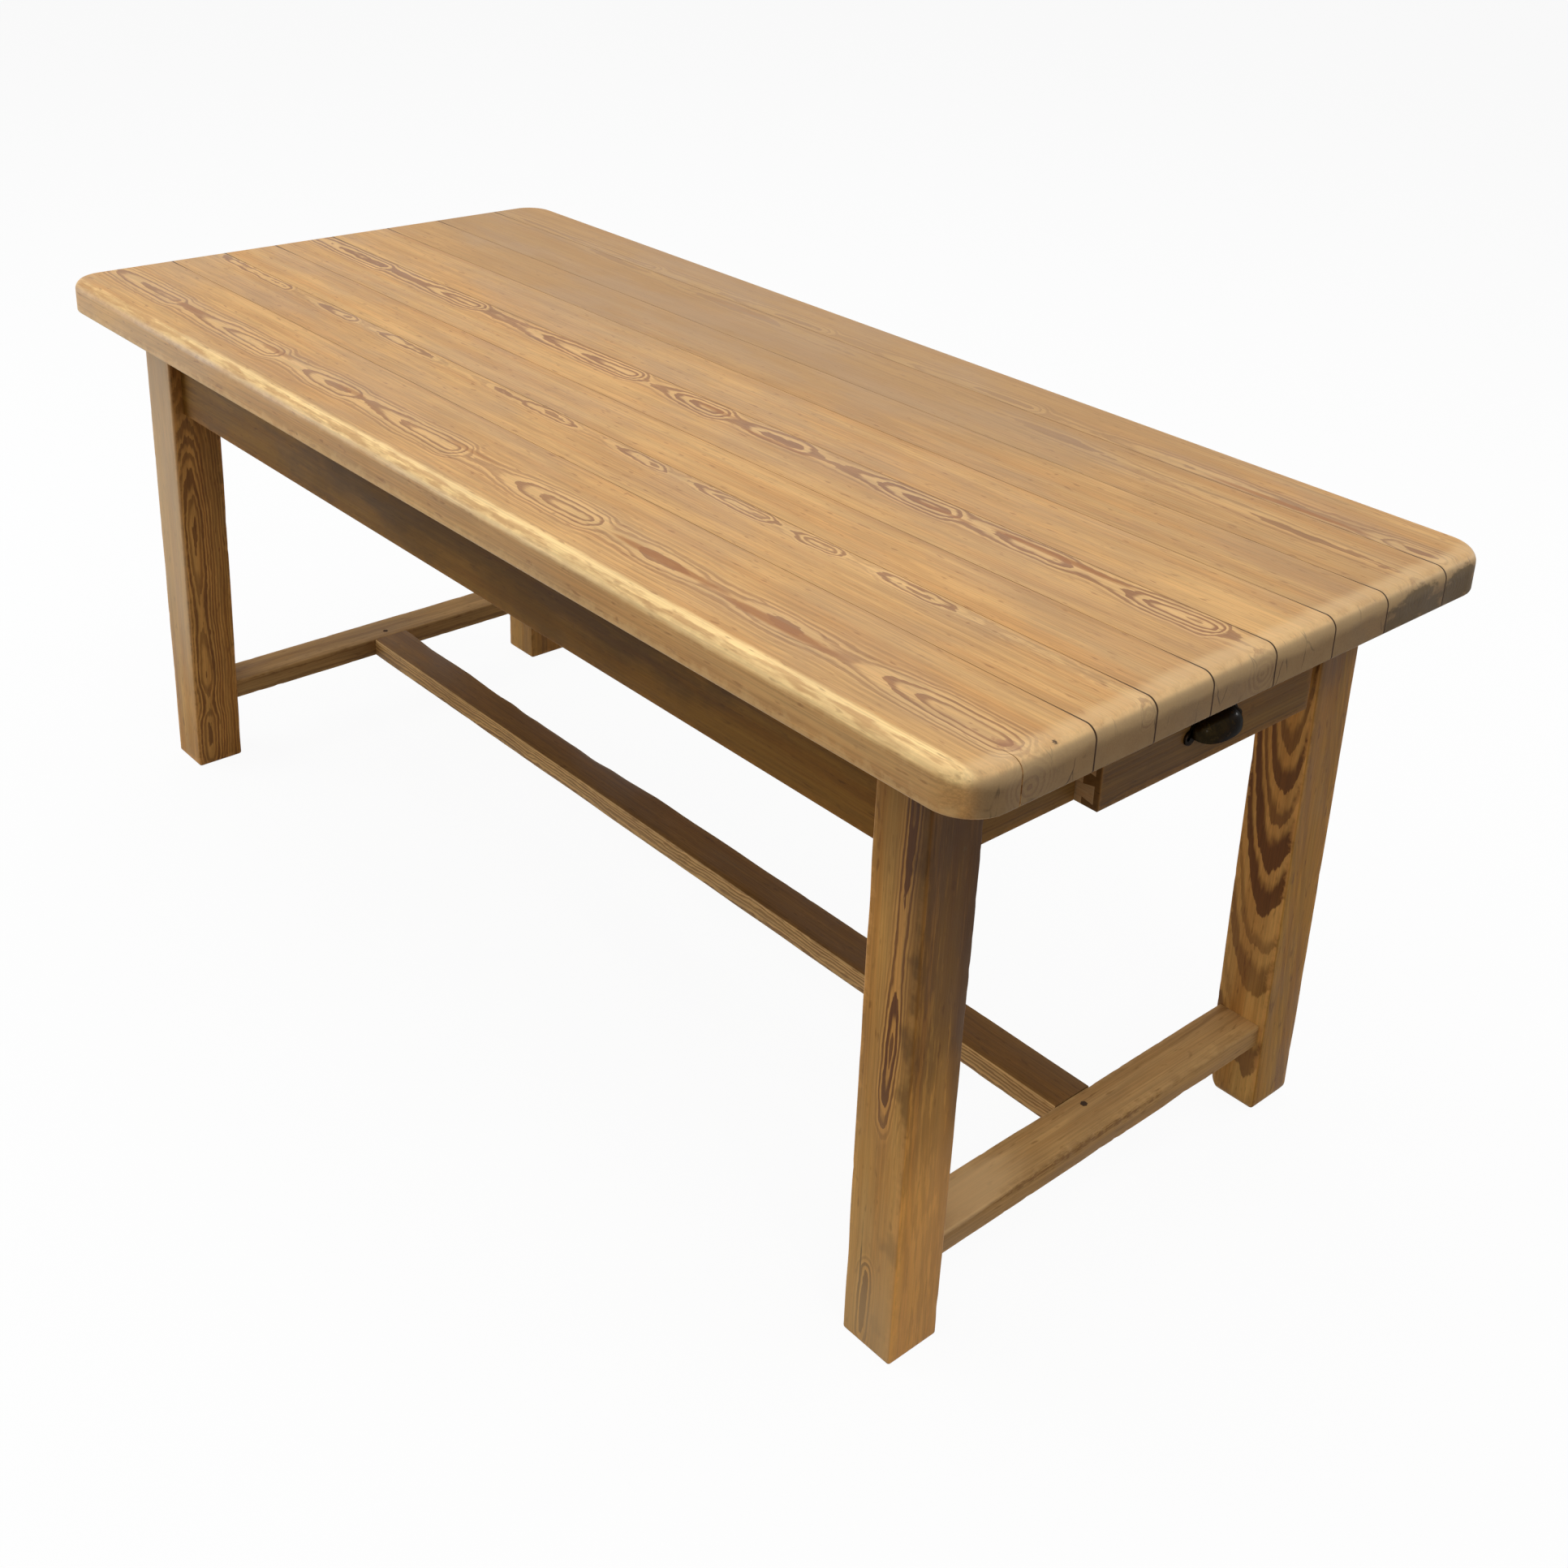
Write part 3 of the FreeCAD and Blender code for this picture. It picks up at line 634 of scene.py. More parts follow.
@dataclass(frozen=True)
class Seams:
    """The joints beside one board of the top.

    Attributes:
        across: Where they are across the top, in metres.
        open_from: How far from the middle they start to open, in metres.
        open_at: How far from the middle they are fully open, in metres.
        colour: The colour of the grime in them.
    """

    across: tuple[float, ...]
    open_from: float
    open_at: float
    colour: Colour = tint(70, 48, 28)


@dataclass(frozen=True)
class Figure:
    """How one timber was sawn from its log.

    Attributes:
        grain: The axis of its fibres.
        pith: Where the pith passes across the other two axes, in millimetres.
        lean: How much the pith leans along the grain, as slopes.
        ring: The distance between rings in millimetres.
        wander: How far the pith wanders in millimetres.
        ripple: How far each ring ripples in millimetres.
        feather: How far the fibres break up each ring, in millimetres.
        seed: Which log it came from.
        swell: Places along the grain and the pith's own rise there, in millimetres.
        contrast: How strongly the latewood shows.
        quiet: The direction of a face whose rings hardly show.
        painted_face_light: Painted light and shade on that face, as factors on its colour, for how the light
            falls on it.
        tone: How light the timber is against the finish.
        body: How strongly the rings show away from the pith.
        core: How far from the pith the rings are at their boldest, in millimetres.
        sapwood_and_highlight: A pale band along it, under the rings: pale young wood, brightened further by a
            painted highlight.
        rubbed: A place rubbed pale, over the end grain.
        seams: The joints beside it.
        marks: Spots and cracks on it.
    """

    grain: Grain
    pith: tuple[float, float]
    lean: tuple[float, float] = (0.0, 0.0)
    ring: float = 4.5
    wander: float = 14.0
    ripple: float = 7.0
    feather: float = 3.0
    seed: float = 1.0
    swell: tuple[tuple[float, float], ...] = ()
    contrast: float = 0.8
    quiet: Triple = (0.0, 0.0, 0.0)
    painted_face_light: Triple = (1.0, 1.0, 1.0)
    tone: float = 1.0
    body: float = 1.0
    core: float = 46.0
    sapwood_and_highlight: Optional[Mark] = None
    rubbed: Optional[Mark] = None
    seams: Optional[Seams] = None
    marks: tuple[Mark, ...] = ()


@dataclass(frozen=True)
class Reading:
    """What a material reads at one place of a timber.

    Attributes:
        graph: The material's graph.
        shared: The shared node groups.
        place: The place in the table's frame.
        masks: How far rings, fibres, handling and wear show there, by name.
    """

    graph: Graph
    shared: SharedGroups
    place: Socket
    masks: dict[str, Socket]


def new_material(name: str) -> tuple[bpy.types.Material, Graph, bpy.types.Node]:
    """Makes a material that is still plain.

    Args:
        name: The material's name.

    Returns:
        The material, its graph and its shader.
    """
    material = bpy.data.materials.new(name)
    material.use_nodes = True
    return material, Graph(material.node_tree), material.node_tree.nodes["Principled BSDF"]


@dataclass(frozen=True)
class PineFinish:
    """Old stripped and waxed pine.

    Attributes:
        early, warm, late: The pale part of a ring, the warmer streaks in it and its dark part.
        end, check: The end grain and the cracks in it.
        worn, soiled: Wood rubbed bare along the edges, and the blotches of handling.
        roughness, shine: How dull the wax is, and how strongly it reflects.
        wear, wear_width: How much the edges are rubbed, and how far in, in metres.
        flame: How much paler the wood is near the pith.
        blotches, ducts, flecks, scratches, dents: How far each of these covers the wood.
        fine_light, cloud_light: How light fibres and clouds are, from the darkest to the palest.
        quiet_turn: How squarely a quiet face looks its way, from hardly to fully.
        quieted: How much of the rings is lost on it.
        end_turn, check_turn: How squarely end grain and its cracks face along the grain.
        end_cover, end_rings, end_blotches: How far end grain shows, and rings and blotches in it.
        dull_spread: How much duller clean wax is, and how much duller the blotches are.
        late_polish, end_dull: How much smoother latewood is, and how much duller end grain is.
        late_rise, fine_rise: How high the latewood and the fine fibres stand.
        relief, relief_height: How strongly that shows, and the whole height in metres.
    """

    early: Colour
    warm: Colour
    late: Colour
    end: Colour
    check: Colour
    worn: Colour
    soiled: Colour
    roughness: float = 0.5
    wear: float = 0.45
    wear_width: float = 0.007
    shine: float = 0.14
    flame: float = 0.35
    blotches: float = 0.5
    ducts: float = 0.5
    flecks: float = 0.42
    scratches: float = 0.22
    dents: float = 0.4
    fine_light: tuple[float, float] = (0.86, 1.08)
    cloud_light: tuple[float, float] = (0.93, 1.06)
    quiet_turn: tuple[float, float] = (0.5, 0.9)
    quieted: float = 0.75
    end_turn: tuple[float, float] = (0.6, 0.92)
    check_turn: tuple[float, float] = (0.35, 0.8)
    end_cover: float = 0.82
    end_rings: float = 0.12
    end_blotches: float = 0.4
    dull_spread: tuple[float, float] = (0.07, -0.06)
    late_polish: float = 0.06
    end_dull: float = 0.18
    late_rise: float = 0.5
    fine_rise: float = 0.3
    relief: float = 0.35
    relief_height: float = 0.0006

    def material(self, name: str, figure: Figure, box: Box, shared: SharedGroups) -> bpy.types.Material:
        """Makes the material of one timber.

        Args:
            name: The material's name.
            figure: How the timber was sawn.
            box: The box whose edges are worn.
            shared: The shared node groups.

        Returns:
            The material.
        """
        material, graph, shader = new_material(name)
        read = self._read(graph, figure, box, shared)
        colour = self._end_grain(read, self._long_grain(read, figure))
        for mark in filter(None, (figure.rubbed, *figure.marks)):
            colour = self._marked(read, colour, mark)
        if figure.seams:
            colour = self._jointed(read, colour, figure.seams)
        # Painted light and shade: the quiet face's colour is scaled by its factors.
        painted_face_light = graph.vector("MULTIPLY", colour, figure.painted_face_light)
        graph.feed(shader.inputs["Base Color"], graph.mix(read.masks["Quiet"], colour, painted_face_light))
        self._surface(read, shader)
        return material

    def _read(self, graph: Graph, figure: Figure, box: Box, shared: SharedGroups) -> Reading:
        """Places the shared groups that a timber reads.

        Args:
            graph: The material's graph.
            figure: How the timber was sawn.
            box: The box whose edges are worn.
            shared: The shared node groups.

        Returns:
            What they say.
        """
        coordinates = graph.add("ShaderNodeTexCoord")
        place, normal = coordinates.outputs["Object"], coordinates.outputs["Normal"]
        axes, order = graph.split(place), figure.grain.value
        sawn = graph.join(*(axes[axis] for axis in order))
        pith_up: Value = figure.pith[1] * MM
        if figure.swell:
            pith_up = graph.plus(self._swell(graph, axes[order[0]], figure), pith_up)
        masks: dict[str, Socket] = {}
        for node in (
            graph.group(
                shared.rings, Place=sawn, Pith_Across=figure.pith[0] * MM, Pith_Up=pith_up,
                Lean=(*figure.lean, 0.0), Ring=figure.ring * MM, Wander=figure.wander * MM,
                Ripple=figure.ripple * MM, Feather=figure.feather * MM, Seed=figure.seed,
                Body=figure.body, Core=figure.core * MM,
            ),
            graph.group(shared.fibres, Place=sawn, Seed=figure.seed),
            graph.group(shared.patina, Place=sawn, Seed=figure.seed),
            graph.group(shared.checks, Place=sawn, Seed=figure.seed),
            graph.group(shared.arris, Place=place, Middle=box[0], Half=box[1], Width=self.wear_width),
        ):
            masks.update({socket.name: socket for socket in node.outputs})
        quiet = graph.ramp(graph.vector("DOT_PRODUCT", normal, figure.quiet), *self.quiet_turn)
        calm = graph.less(1.0, graph.times(quiet, self.quieted))
        facing = graph.math("ABSOLUTE", graph.split(normal)[order[0]])
        masks["Quiet"] = quiet
        masks["Latewood"] = graph.times(masks["Latewood"], calm)
        masks["Heart"] = graph.times(masks["Heart"], calm)
        masks["Sawn End"] = graph.ramp(facing, *self.end_turn)
        masks["Checks"] = graph.times(masks["Checks"], graph.ramp(facing, *self.check_turn))
        return Reading(graph, shared, place, masks)

    def _long_grain(self, read: Reading, figure: Figure) -> Socket:
        """Mixes the colour of the faces along the grain.

        Args:
            read: What the material reads.
            figure: How the timber was sawn.

        Returns:
            The colour.
        """
        graph, masks = read.graph, read.masks
        early, warm, late, worn, soiled = (
            tuple(part * figure.tone for part in colour)
            for colour in (self.early, self.warm, self.late, self.worn, self.soiled)
        )
        colour = graph.mix(masks["Broad"], early, warm)
        colour = graph.cover(colour, masks["Blotch"], self.blotches, soiled)
        colour = graph.cover(colour, masks["Heart"], self.flame, worn)
        # The pale band is pale young wood with a painted highlight on it.
        if figure.sapwood_and_highlight:
            colour = self._marked(read, colour, figure.sapwood_and_highlight)
        colour = graph.cover(colour, masks["Latewood"], figure.contrast, late)
        light = graph.times(
            graph.ramp(masks["Fine"], 0.0, 1.0, *self.fine_light),
            graph.ramp(masks["Cloud"], 0.0, 1.0, *self.cloud_light),
        )
        colour = graph.mix(1.0, colour, graph.join(light, light, light), "MULTIPLY")
        for label, strength, paint in (
            ("Ducts", self.ducts, late), ("Flecks", self.flecks, late), ("Edge", self.wear, worn),
            ("Scratches", self.scratches, worn), ("Dents", self.dents, self.late),
        ):
            colour = graph.cover(colour, masks[label], strength, paint)
        return colour

    def _end_grain(self, read: Reading, colour: Socket) -> Socket:
        """Lays end grain and its cracks over the faces that cross the grain.

        Args:
            read: What the material reads.
            colour: The colour of the other faces.

        Returns:
            The colour of all faces.
        """
        graph, masks = read.graph, read.masks
        end = graph.cover(self.end, masks["Latewood"], self.end_rings, self.late)
        end = graph.cover(end, masks["Blotch"], self.end_blotches, self.check)
        colour = graph.cover(colour, masks["Sawn End"], self.end_cover, end)
        return graph.mix(masks["Checks"], colour, self.check)

    def _surface(self, read: Reading, shader: bpy.types.Node) -> None:
        """Sets how dull the wax is and how far the grain stands up.

        Args:
            read: What the material reads.
            shader: The material's shader.
        """
        graph, masks = read.graph, read.masks
        dull = graph.ramp(masks["Blotch"], 0.0, 1.0, *(self.roughness + step for step in self.dull_spread))
        dull = graph.less(dull, graph.times(masks["Latewood"], self.late_polish))
        dull = graph.plus(dull, graph.times(masks["Sawn End"], self.end_dull))
        graph.feed(shader.inputs["Roughness"], dull)
        shader.inputs["Specular IOR Level"].default_value = self.shine
        raised = (graph.times(masks["Latewood"], self.late_rise), graph.times(masks["Fine"], self.fine_rise))
        height = graph.less(graph.plus(*raised), masks["Dents"])
        graph.bump(shader, height, self.relief, self.relief_height)

    def _marked(self, read: Reading, colour: Socket, mark: Mark) -> Socket:
        """Lays one mark over a colour.

        Args:
            read: What the material reads.
            colour: The colour under the mark.
            mark: The mark.

        Returns:
            The marked colour.
        """
        spot = read.graph.group(
            read.shared.mark, Place=read.place, Middle=mark.middle, Size=mark.size, Streaks=mark.streaks,
            Ragged=mark.ragged,
        )
        return read.graph.cover(colour, spot.outputs["Mask"], mark.strength, mark.colour)

    def _jointed(self, read: Reading, colour: Socket, seams: Seams) -> Socket:
        """Darkens a colour along the joints beside a board.

        Args:
            read: What the material reads.
            colour: The colour of the board.
            seams: The joints.

        Returns:
            The colour with its joints.
        """
        for across in seams.across:
            joint = read.graph.group(
                read.shared.joints, Place=read.place, Joint=across, Open_From=seams.open_from,
                Open_At=seams.open_at,
            )
            colour = read.graph.mix(joint.outputs["Line"], colour, seams.colour)
        return colour

    def _swell(self, graph: Graph, along: Socket, figure: Figure) -> Socket:
        """Makes the pith rise and fall by listed steps along the grain.

        Args:
            graph: The material's graph.
            along: The place along the grain in metres.
            figure: The timber's figure.

        Returns:
            The rise in metres.
        """
        first, last = figure.swell[0][0], figure.swell[-1][0]
        lowest = min(rise for _, rise in figure.swell)
        span = max(rise for _, rise in figure.swell) - lowest
        place = graph.add("ShaderNodeMapRange")
        for socket, value in zip(place.inputs, (along, first * MM, last * MM, 0.0, 1.0)):
            graph.feed(socket, value)
        curve = graph.add("ShaderNodeFloatCurve")
        graph.feed(curve.inputs["Value"], place.outputs[0])
        points = curve.mapping.curves[0].points
        steps = [((step - first) / (last - first), (rise - lowest) / span) for step, rise in figure.swell]
        points[0].location, points[len(points) - 1].location = steps[0], steps[-1]
        for step in steps[1:-1]:
            points.new(*step)
        curve.mapping.update()
        return graph.plus(graph.times(curve.outputs[0], span * MM), lowest * MM)


TOP_PINE = PineFinish(
    early=tint(214, 168, 107), warm=tint(199, 147, 86), late=tint(122, 66, 24), end=tint(126, 104, 76),
    check=tint(62, 46, 30), worn=tint(228, 188, 130), soiled=tint(170, 130, 82),
    roughness=0.46, wear=0.6, wear_width=0.016, shine=0.24, flame=0.4,
)
FRAME_PINE = PineFinish(
    early=tint(212, 164, 93), warm=tint(182, 126, 60), late=tint(92, 50, 16), end=tint(136, 100, 56),
    check=tint(50, 32, 18), worn=tint(222, 162, 92), soiled=tint(132, 94, 50),
    roughness=0.5, wear=0.7, wear_width=0.010,
)
SHADED_PINE = replace(FRAME_PINE, shine=0.08)
STEPPED_PINE = PineFinish(
    early=tint(212, 168, 108), warm=tint(188, 142, 85), late=tint(112, 72, 34), end=tint(136, 102, 60),
    check=tint(50, 32, 18), worn=tint(216, 174, 114), soiled=tint(146, 110, 67),
    roughness=0.54, wear=0.45, wear_width=0.008,
)
INNER_PINE = PineFinish(
    early=tint(206, 172, 128), warm=tint(192, 154, 108), late=tint(150, 106, 66), end=tint(168, 136, 100),
    check=tint(90, 66, 44), worn=tint(214, 184, 144), soiled=tint(168, 134, 98),
    roughness=0.66, wear=0.25, wear_width=0.004,
)
PEG_WOOD = PineFinish(
    early=tint(92, 64, 40), warm=tint(80, 54, 34), late=tint(48, 32, 20), end=tint(66, 46, 30),
    check=tint(24, 16, 10), worn=tint(104, 76, 50), soiled=tint(60, 42, 28), roughness=0.6,
)


@dataclass(frozen=True)
class MetalFinish:
    """Cast or drawn metal with a patina that is rubbed away where it is touched.

    Attributes:
        patina, bare, tarnish: The dark skin, the metal that shows through and the dull hollows.
        roughness, rubbed: How dull the skin is, and how much of the metal shows.
        wax, wax_dull: How much wax lies over it, and how dull that wax is.
        rub_width, rub_polish: How far rubbing reaches from an edge in metres, and how it smooths.
        rub_clouds, tarnish_clouds, dull_clouds: The levels of the clouds between which each grows.
        dull_spread: How much duller the skin is, from the least to the most.
        metal: How far it acts as metal.
        relief, relief_height: How strongly its grit stands up, and how high in metres.
    """

    patina: Colour
    bare: Colour
    tarnish: Colour
    roughness: float = 0.38
    rubbed: float = 0.35
    wax: float = 0.0
    wax_dull: float = 0.16
    rub_width: float = 0.006
    rub_clouds: tuple[float, float] = (0.55, 0.75)
    rub_polish: float = 0.15
    tarnish_clouds: tuple[float, float] = (0.35, 0.65)
    dull_clouds: tuple[float, float] = (0.3, 0.7)
    dull_spread: tuple[float, float] = (-0.06, 0.12)
    metal: float = 0.9
    relief: float = 0.25
    relief_height: float = 0.0003

    def material(self, name: str, box: Box, shared: SharedGroups) -> bpy.types.Material:
        """Makes the metal's material.

        Args:
            name: The material's name.
            box: The box whose outside is rubbed.
            shared: The shared node groups.

        Returns:
            The material.
        """
        material, graph, shader = new_material(name)
        place = graph.add("ShaderNodeTexCoord").outputs["Object"]
        cloud, grit = (graph.drawn(place, kind)[0] for kind in (METAL_CLOUDS, METAL_GRIT))
        arris = graph.group(shared.arris, Place=place, Middle=box[0], Half=box[1], Width=self.rub_width)
        touched = graph.math("ADD", arris.outputs["Edge"], graph.ramp(cloud, *self.rub_clouds), clamp=True)
        rub = graph.times(touched, self.rubbed)
        colour = graph.mix(graph.ramp(cloud, *self.tarnish_clouds), self.patina, self.tarnish)
        graph.feed(shader.inputs["Base Color"], graph.mix(rub, colour, self.bare))
        for label, value in (
            ("Metallic", self.metal), ("Specular Tint", self.bare), ("Coat Weight", self.wax),
            ("Coat Roughness", self.wax_dull),
        ):
            graph.feed(shader.inputs[label], value)
        dull = graph.ramp(cloud, *self.dull_clouds, *(self.roughness + step for step in self.dull_spread))
        graph.feed(shader.inputs["Roughness"], graph.less(dull, graph.times(rub, self.rub_polish)))
        graph.bump(shader, graph.plus(grit, cloud), self.relief, self.relief_height)
        return material


DARK_BRONZE = MetalFinish(
    patina=tint(36, 27, 10), bare=tint(96, 74, 36), tarnish=tint(22, 17, 7),
    roughness=0.34, rubbed=0.3, wax=0.05,
)
OLD_STEEL = MetalFinish(
    patina=tint(86, 80, 74), bare=tint(150, 146, 140), tarnish=tint(70, 54, 42),
    roughness=0.5, rubbed=0.4,
)


def box_of(*nodes: str) -> Box:
    """Finds the box around some CAD nodes.

    Args:
        *nodes: The nodes' names.

    Returns:
        The box's middle and half its size.
    """
    corners = [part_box(node) for node in nodes]
    low = Vector([min(corner[0][axis] for corner in corners) for axis in range(3)])
    high = Vector([max(corner[1][axis] for corner in corners) for axis in range(3)])
    return (low + high) / 2, (high - low) / 2


def wear(piece: bpy.types.Object, material: bpy.types.Material) -> None:
    """Puts one material on a piece.

    Args:
        piece: The piece.
        material: The material.
    """
    piece.data.materials.clear()
    piece.data.materials.append(material)
    log.info("%s wears %s", piece.name, material.name)


def as_object(mesh: bmesh.types.BMesh, name: str, sharp: Optional[float] = None) -> bpy.types.Object:
    """Turns a modelled mesh into an object of the scene.

    Args:
        mesh: The mesh, which is used up.
        name: The object's name.
        sharp: The angle in degrees from which edges stay sharp, or None for flat faces.

    Returns:
        The object.
    """
    data = bpy.data.meshes.new(name)
    mesh.to_mesh(data)
    mesh.free()
    if sharp is not None:
        data.shade_smooth()
        data.set_sharp_from_angle(angle=math.radians(sharp))
    piece = bpy.data.objects.new(name, data)
    bpy.context.scene.collection.objects.link(piece)
    log.info("%s built", name)
    return piece


@dataclass
class Timbers:
    """A sub-assembly of sawn timbers that share one finish.

    Attributes:
        finish: The finish on all of them.
        figures: How each CAD node was sawn.
        pieces: The object that shows each CAD node.
    """

    finish: PineFinish
    figures: dict[str, Figure] = field(default_factory=dict)
    pieces: dict[str, bpy.types.Object] = field(default_factory=dict)

    def build(self) -> None:
        """Takes the CAD solids as they are."""
        for node in self.figures:
            self.pieces[node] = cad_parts[node]
            log.info("%s taken from the CAD model", node)

    def dress(self, shared: SharedGroups) -> None:
        """Gives every timber its own material, made of the shared node groups."""
        for node, figure in self.figures.items():
            wear(self.pieces[node], self.finish.material(node + "_pine", figure, box_of(node), shared))


@dataclass(frozen=True)
class Dip:
    """A longer hollow worn into one arris.

    Attributes:
        corner: Which arris, as signs on the two axes across the grain.
        middle: Its middle along the grain in millimetres.
        reach: Half its length in millimetres.
        depth: How deep it goes in millimetres.
        bite: How finely it is chewed, in bites per millimetre.
    """

    corner: tuple[int, int]
    middle: float
    reach: float
    depth: float
    bite: float = 0.017


@dataclass(frozen=True)
class Bar:
    """The straight shape of one timber and the wear on it, in millimetres.

    Attributes:
        grain: The axis that it lies along.
        start: Where its shoulders start.
        end: Where its shoulders end.
        tenon: The size of its tenons on the two axes across the grain, or nothing.
        taper: How much its inner faces come in towards the start.
        taper_end: Where the taper ends.
        outer: Which sides stay straight, as signs.
        arris: The rounding of its arrises.
        chips: How deep the knocks on its arrises are.
        hollow: How far its faces dip.
        soft_start: Whether the edges at its start are rounded too.
        seed: Which knocks it has.
        dips: Longer hollows in its arrises.
        foot: How far its start is rounded over.
        step: The distance between sections.
    """

    grain: Grain
    start: float
    end: float
    tenon: tuple[float, float] = (0.0, 0.0)
    taper: float = 0.0
    taper_end: float = 588.0
    outer: tuple[int, int] = (0, 0)
    arris: float = 3.0
    chips: float = 1.0
    hollow: float = 0.5
    soft_start: bool = False
    seed: float = 0.0
    dips: tuple[Dip, ...] = ()
    foot: float = 0.0
    step: float = 9.0


@dataclass
class WornTimbers(Timbers):
    """Timbers that are modelled again over their CAD solids, with the knocks of long use.

    Attributes:
        bars, slot: The shape of each CAD node, and the name of a material slot, which is not used.
        arris_reach, arris_steps: How far a knock spreads from an arris, and the steps of its round.
        sharp: The angle in degrees from which edges stay sharp.
        foot_cuts: Where a rounded foot is cut into steps, as shares of its height.
        knock_rate, knock_depth: How many knocks a millimetre has, and how deep one goes.
        chip_rate, chip_depth: How many times more and how many times deeper chips are.
        chip_floor: How much of the chips is too shallow to show.
        sag_rate, sag_spread: How often a face sags along a millimetre, and how unevenly.
        dip_mean, dip_spread: How deep a longer hollow is on the whole, and how unevenly.
        corner_shift, sag_shift, dip_shift: How far on the noise of each is read.
        touch: How near a point counts as on a side, in millimetres.
        tenon_lap: How much longer than its CAD solid a tenon is, in millimetres.
    """

    bars: dict[str, Bar] = field(default_factory=dict)
    slot: str = "frame_pine"
    arris_reach: float = 13.0
    arris_steps: int = 4
    sharp: float = 38.0
    foot_cuts: tuple[float, ...] = (0.08, 0.22, 0.42, 0.68, 1.0)
    knock_rate: float = 0.014
    knock_depth: float = 0.7
    chip_rate: float = 4.3
    chip_depth: float = 1.6
    chip_floor: float = 0.3
    sag_rate: float = 0.008
    sag_spread: float = 0.4
    dip_mean: float = 0.85
    dip_spread: float = 0.6
    corner_shift: tuple[float, float] = (3.1, 1.7)
    sag_shift: float = 5.0
    dip_shift: float = 9.0
    touch: float = 0.01
    tenon_lap: float = 1.0

    def build(self) -> None:
        """Models every bar."""
        for node, bar in self.bars.items():
            piece = as_object(self._model(node, bar), node + "_worn", self.sharp)
            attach(piece, "table")
            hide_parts(node)
            self.pieces[node] = piece

    def _model(self, node: str, bar: Bar) -> bmesh.types.BMesh:
        """Models one bar, first along X and then turned to its own axis.

        Args:
            node: The CAD node that it stands for.
            bar: Its shape.

        Returns:
            The finished mesh in metres.
        """
        corners = [[corner[axis] / MM for axis in bar.grain.value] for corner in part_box(node)]
        low, high = Vector((bar.start, *corners[0][1:])), Vector((bar.end, *corners[1][1:]))
        middle, size = (low + high) / 2, high - low
        mesh = bmesh.new()
        form = Matrix.Translation(middle) @ Matrix.Diagonal((*size, 1.0))
        bmesh.ops.create_cube(mesh, size=1.0, matrix=form)
        for axis in (1, 2):
            for side in (-1, 1):
                self._cut(mesh, axis, middle[axis] + side * (size[axis] / 2 - self.arris_reach))
        long_edges = [edge for edge in mesh.edges if abs(edge.verts[0].co.x - edge.verts[1].co.x) > 1]
        bmesh.ops.subdivide_edges(mesh, edges=long_edges, cuts=int(size.x / bar.step), use_grid_fill=True)
        for share in self.foot_cuts if bar.foot else ():
            self._cut(mesh, 0, bar.start + bar.foot * share)
        arrises = [edge for edge in mesh.edges if self._is_arris(edge, bar, low, high)]
        bmesh.ops.bevel(
            mesh, geom=arrises, offset=bar.arris, affect="EDGES", segments=self.arris_steps, profile=0.5,
            material=-1,
        )
        for vertex in mesh.verts:
            vertex.co = self._wear_down(vertex.co, bar, middle, size)
        self._add_tenons(mesh, bar, corners, middle)
        for vertex in mesh.verts:
            placed = Vector((0, 0, 0))
            for local, axis in enumerate(bar.grain.value):
                placed[axis] = vertex.co[local] * MM
            vertex.co = placed
        mesh.normal_update()
        bmesh.ops.recalc_face_normals(mesh, faces=mesh.faces)
        return mesh

    def _cut(self, mesh: bmesh.types.BMesh, axis: int, place: float) -> None:
        """Cuts a mesh square to one axis, without parting it.

        Args:
            mesh: The mesh.
            axis: The number of the axis.
            place: Where the cut is on that axis.
        """
        flat = Vector((0, 0, 0))
        flat[axis] = 1
        geometry = mesh.verts[:] + mesh.edges[:] + mesh.faces[:]
        bmesh.ops.bisect_plane(mesh, geom=geometry, plane_co=flat * place, plane_no=flat)

    def _is_arris(self, edge: bmesh.types.BMEdge, bar: Bar, low: Vector, high: Vector) -> bool:
        """Tells whether an edge is rounded.

        Args:
            edge: The edge.
            bar: The bar's shape.
            low: The lower corner of the bar.
            high: The upper corner of the bar.

        Returns:
            Whether both its ends lie on the same two sides of the bar.
        """
        sides = [
            {
                (axis, bound) for axis in range(3) for bound, limit in ((0, low), (1, high))
                if abs(vertex.co[axis] - limit[axis]) < self.touch
            }
            for vertex in edge.verts
        ]
        shared_sides = sides[0] & sides[1]
        if bar.soft_start and (0, 0) in shared_sides:
            return len(shared_sides) > 1
        return len({side for side in shared_sides if side[0] > 0}) > 1

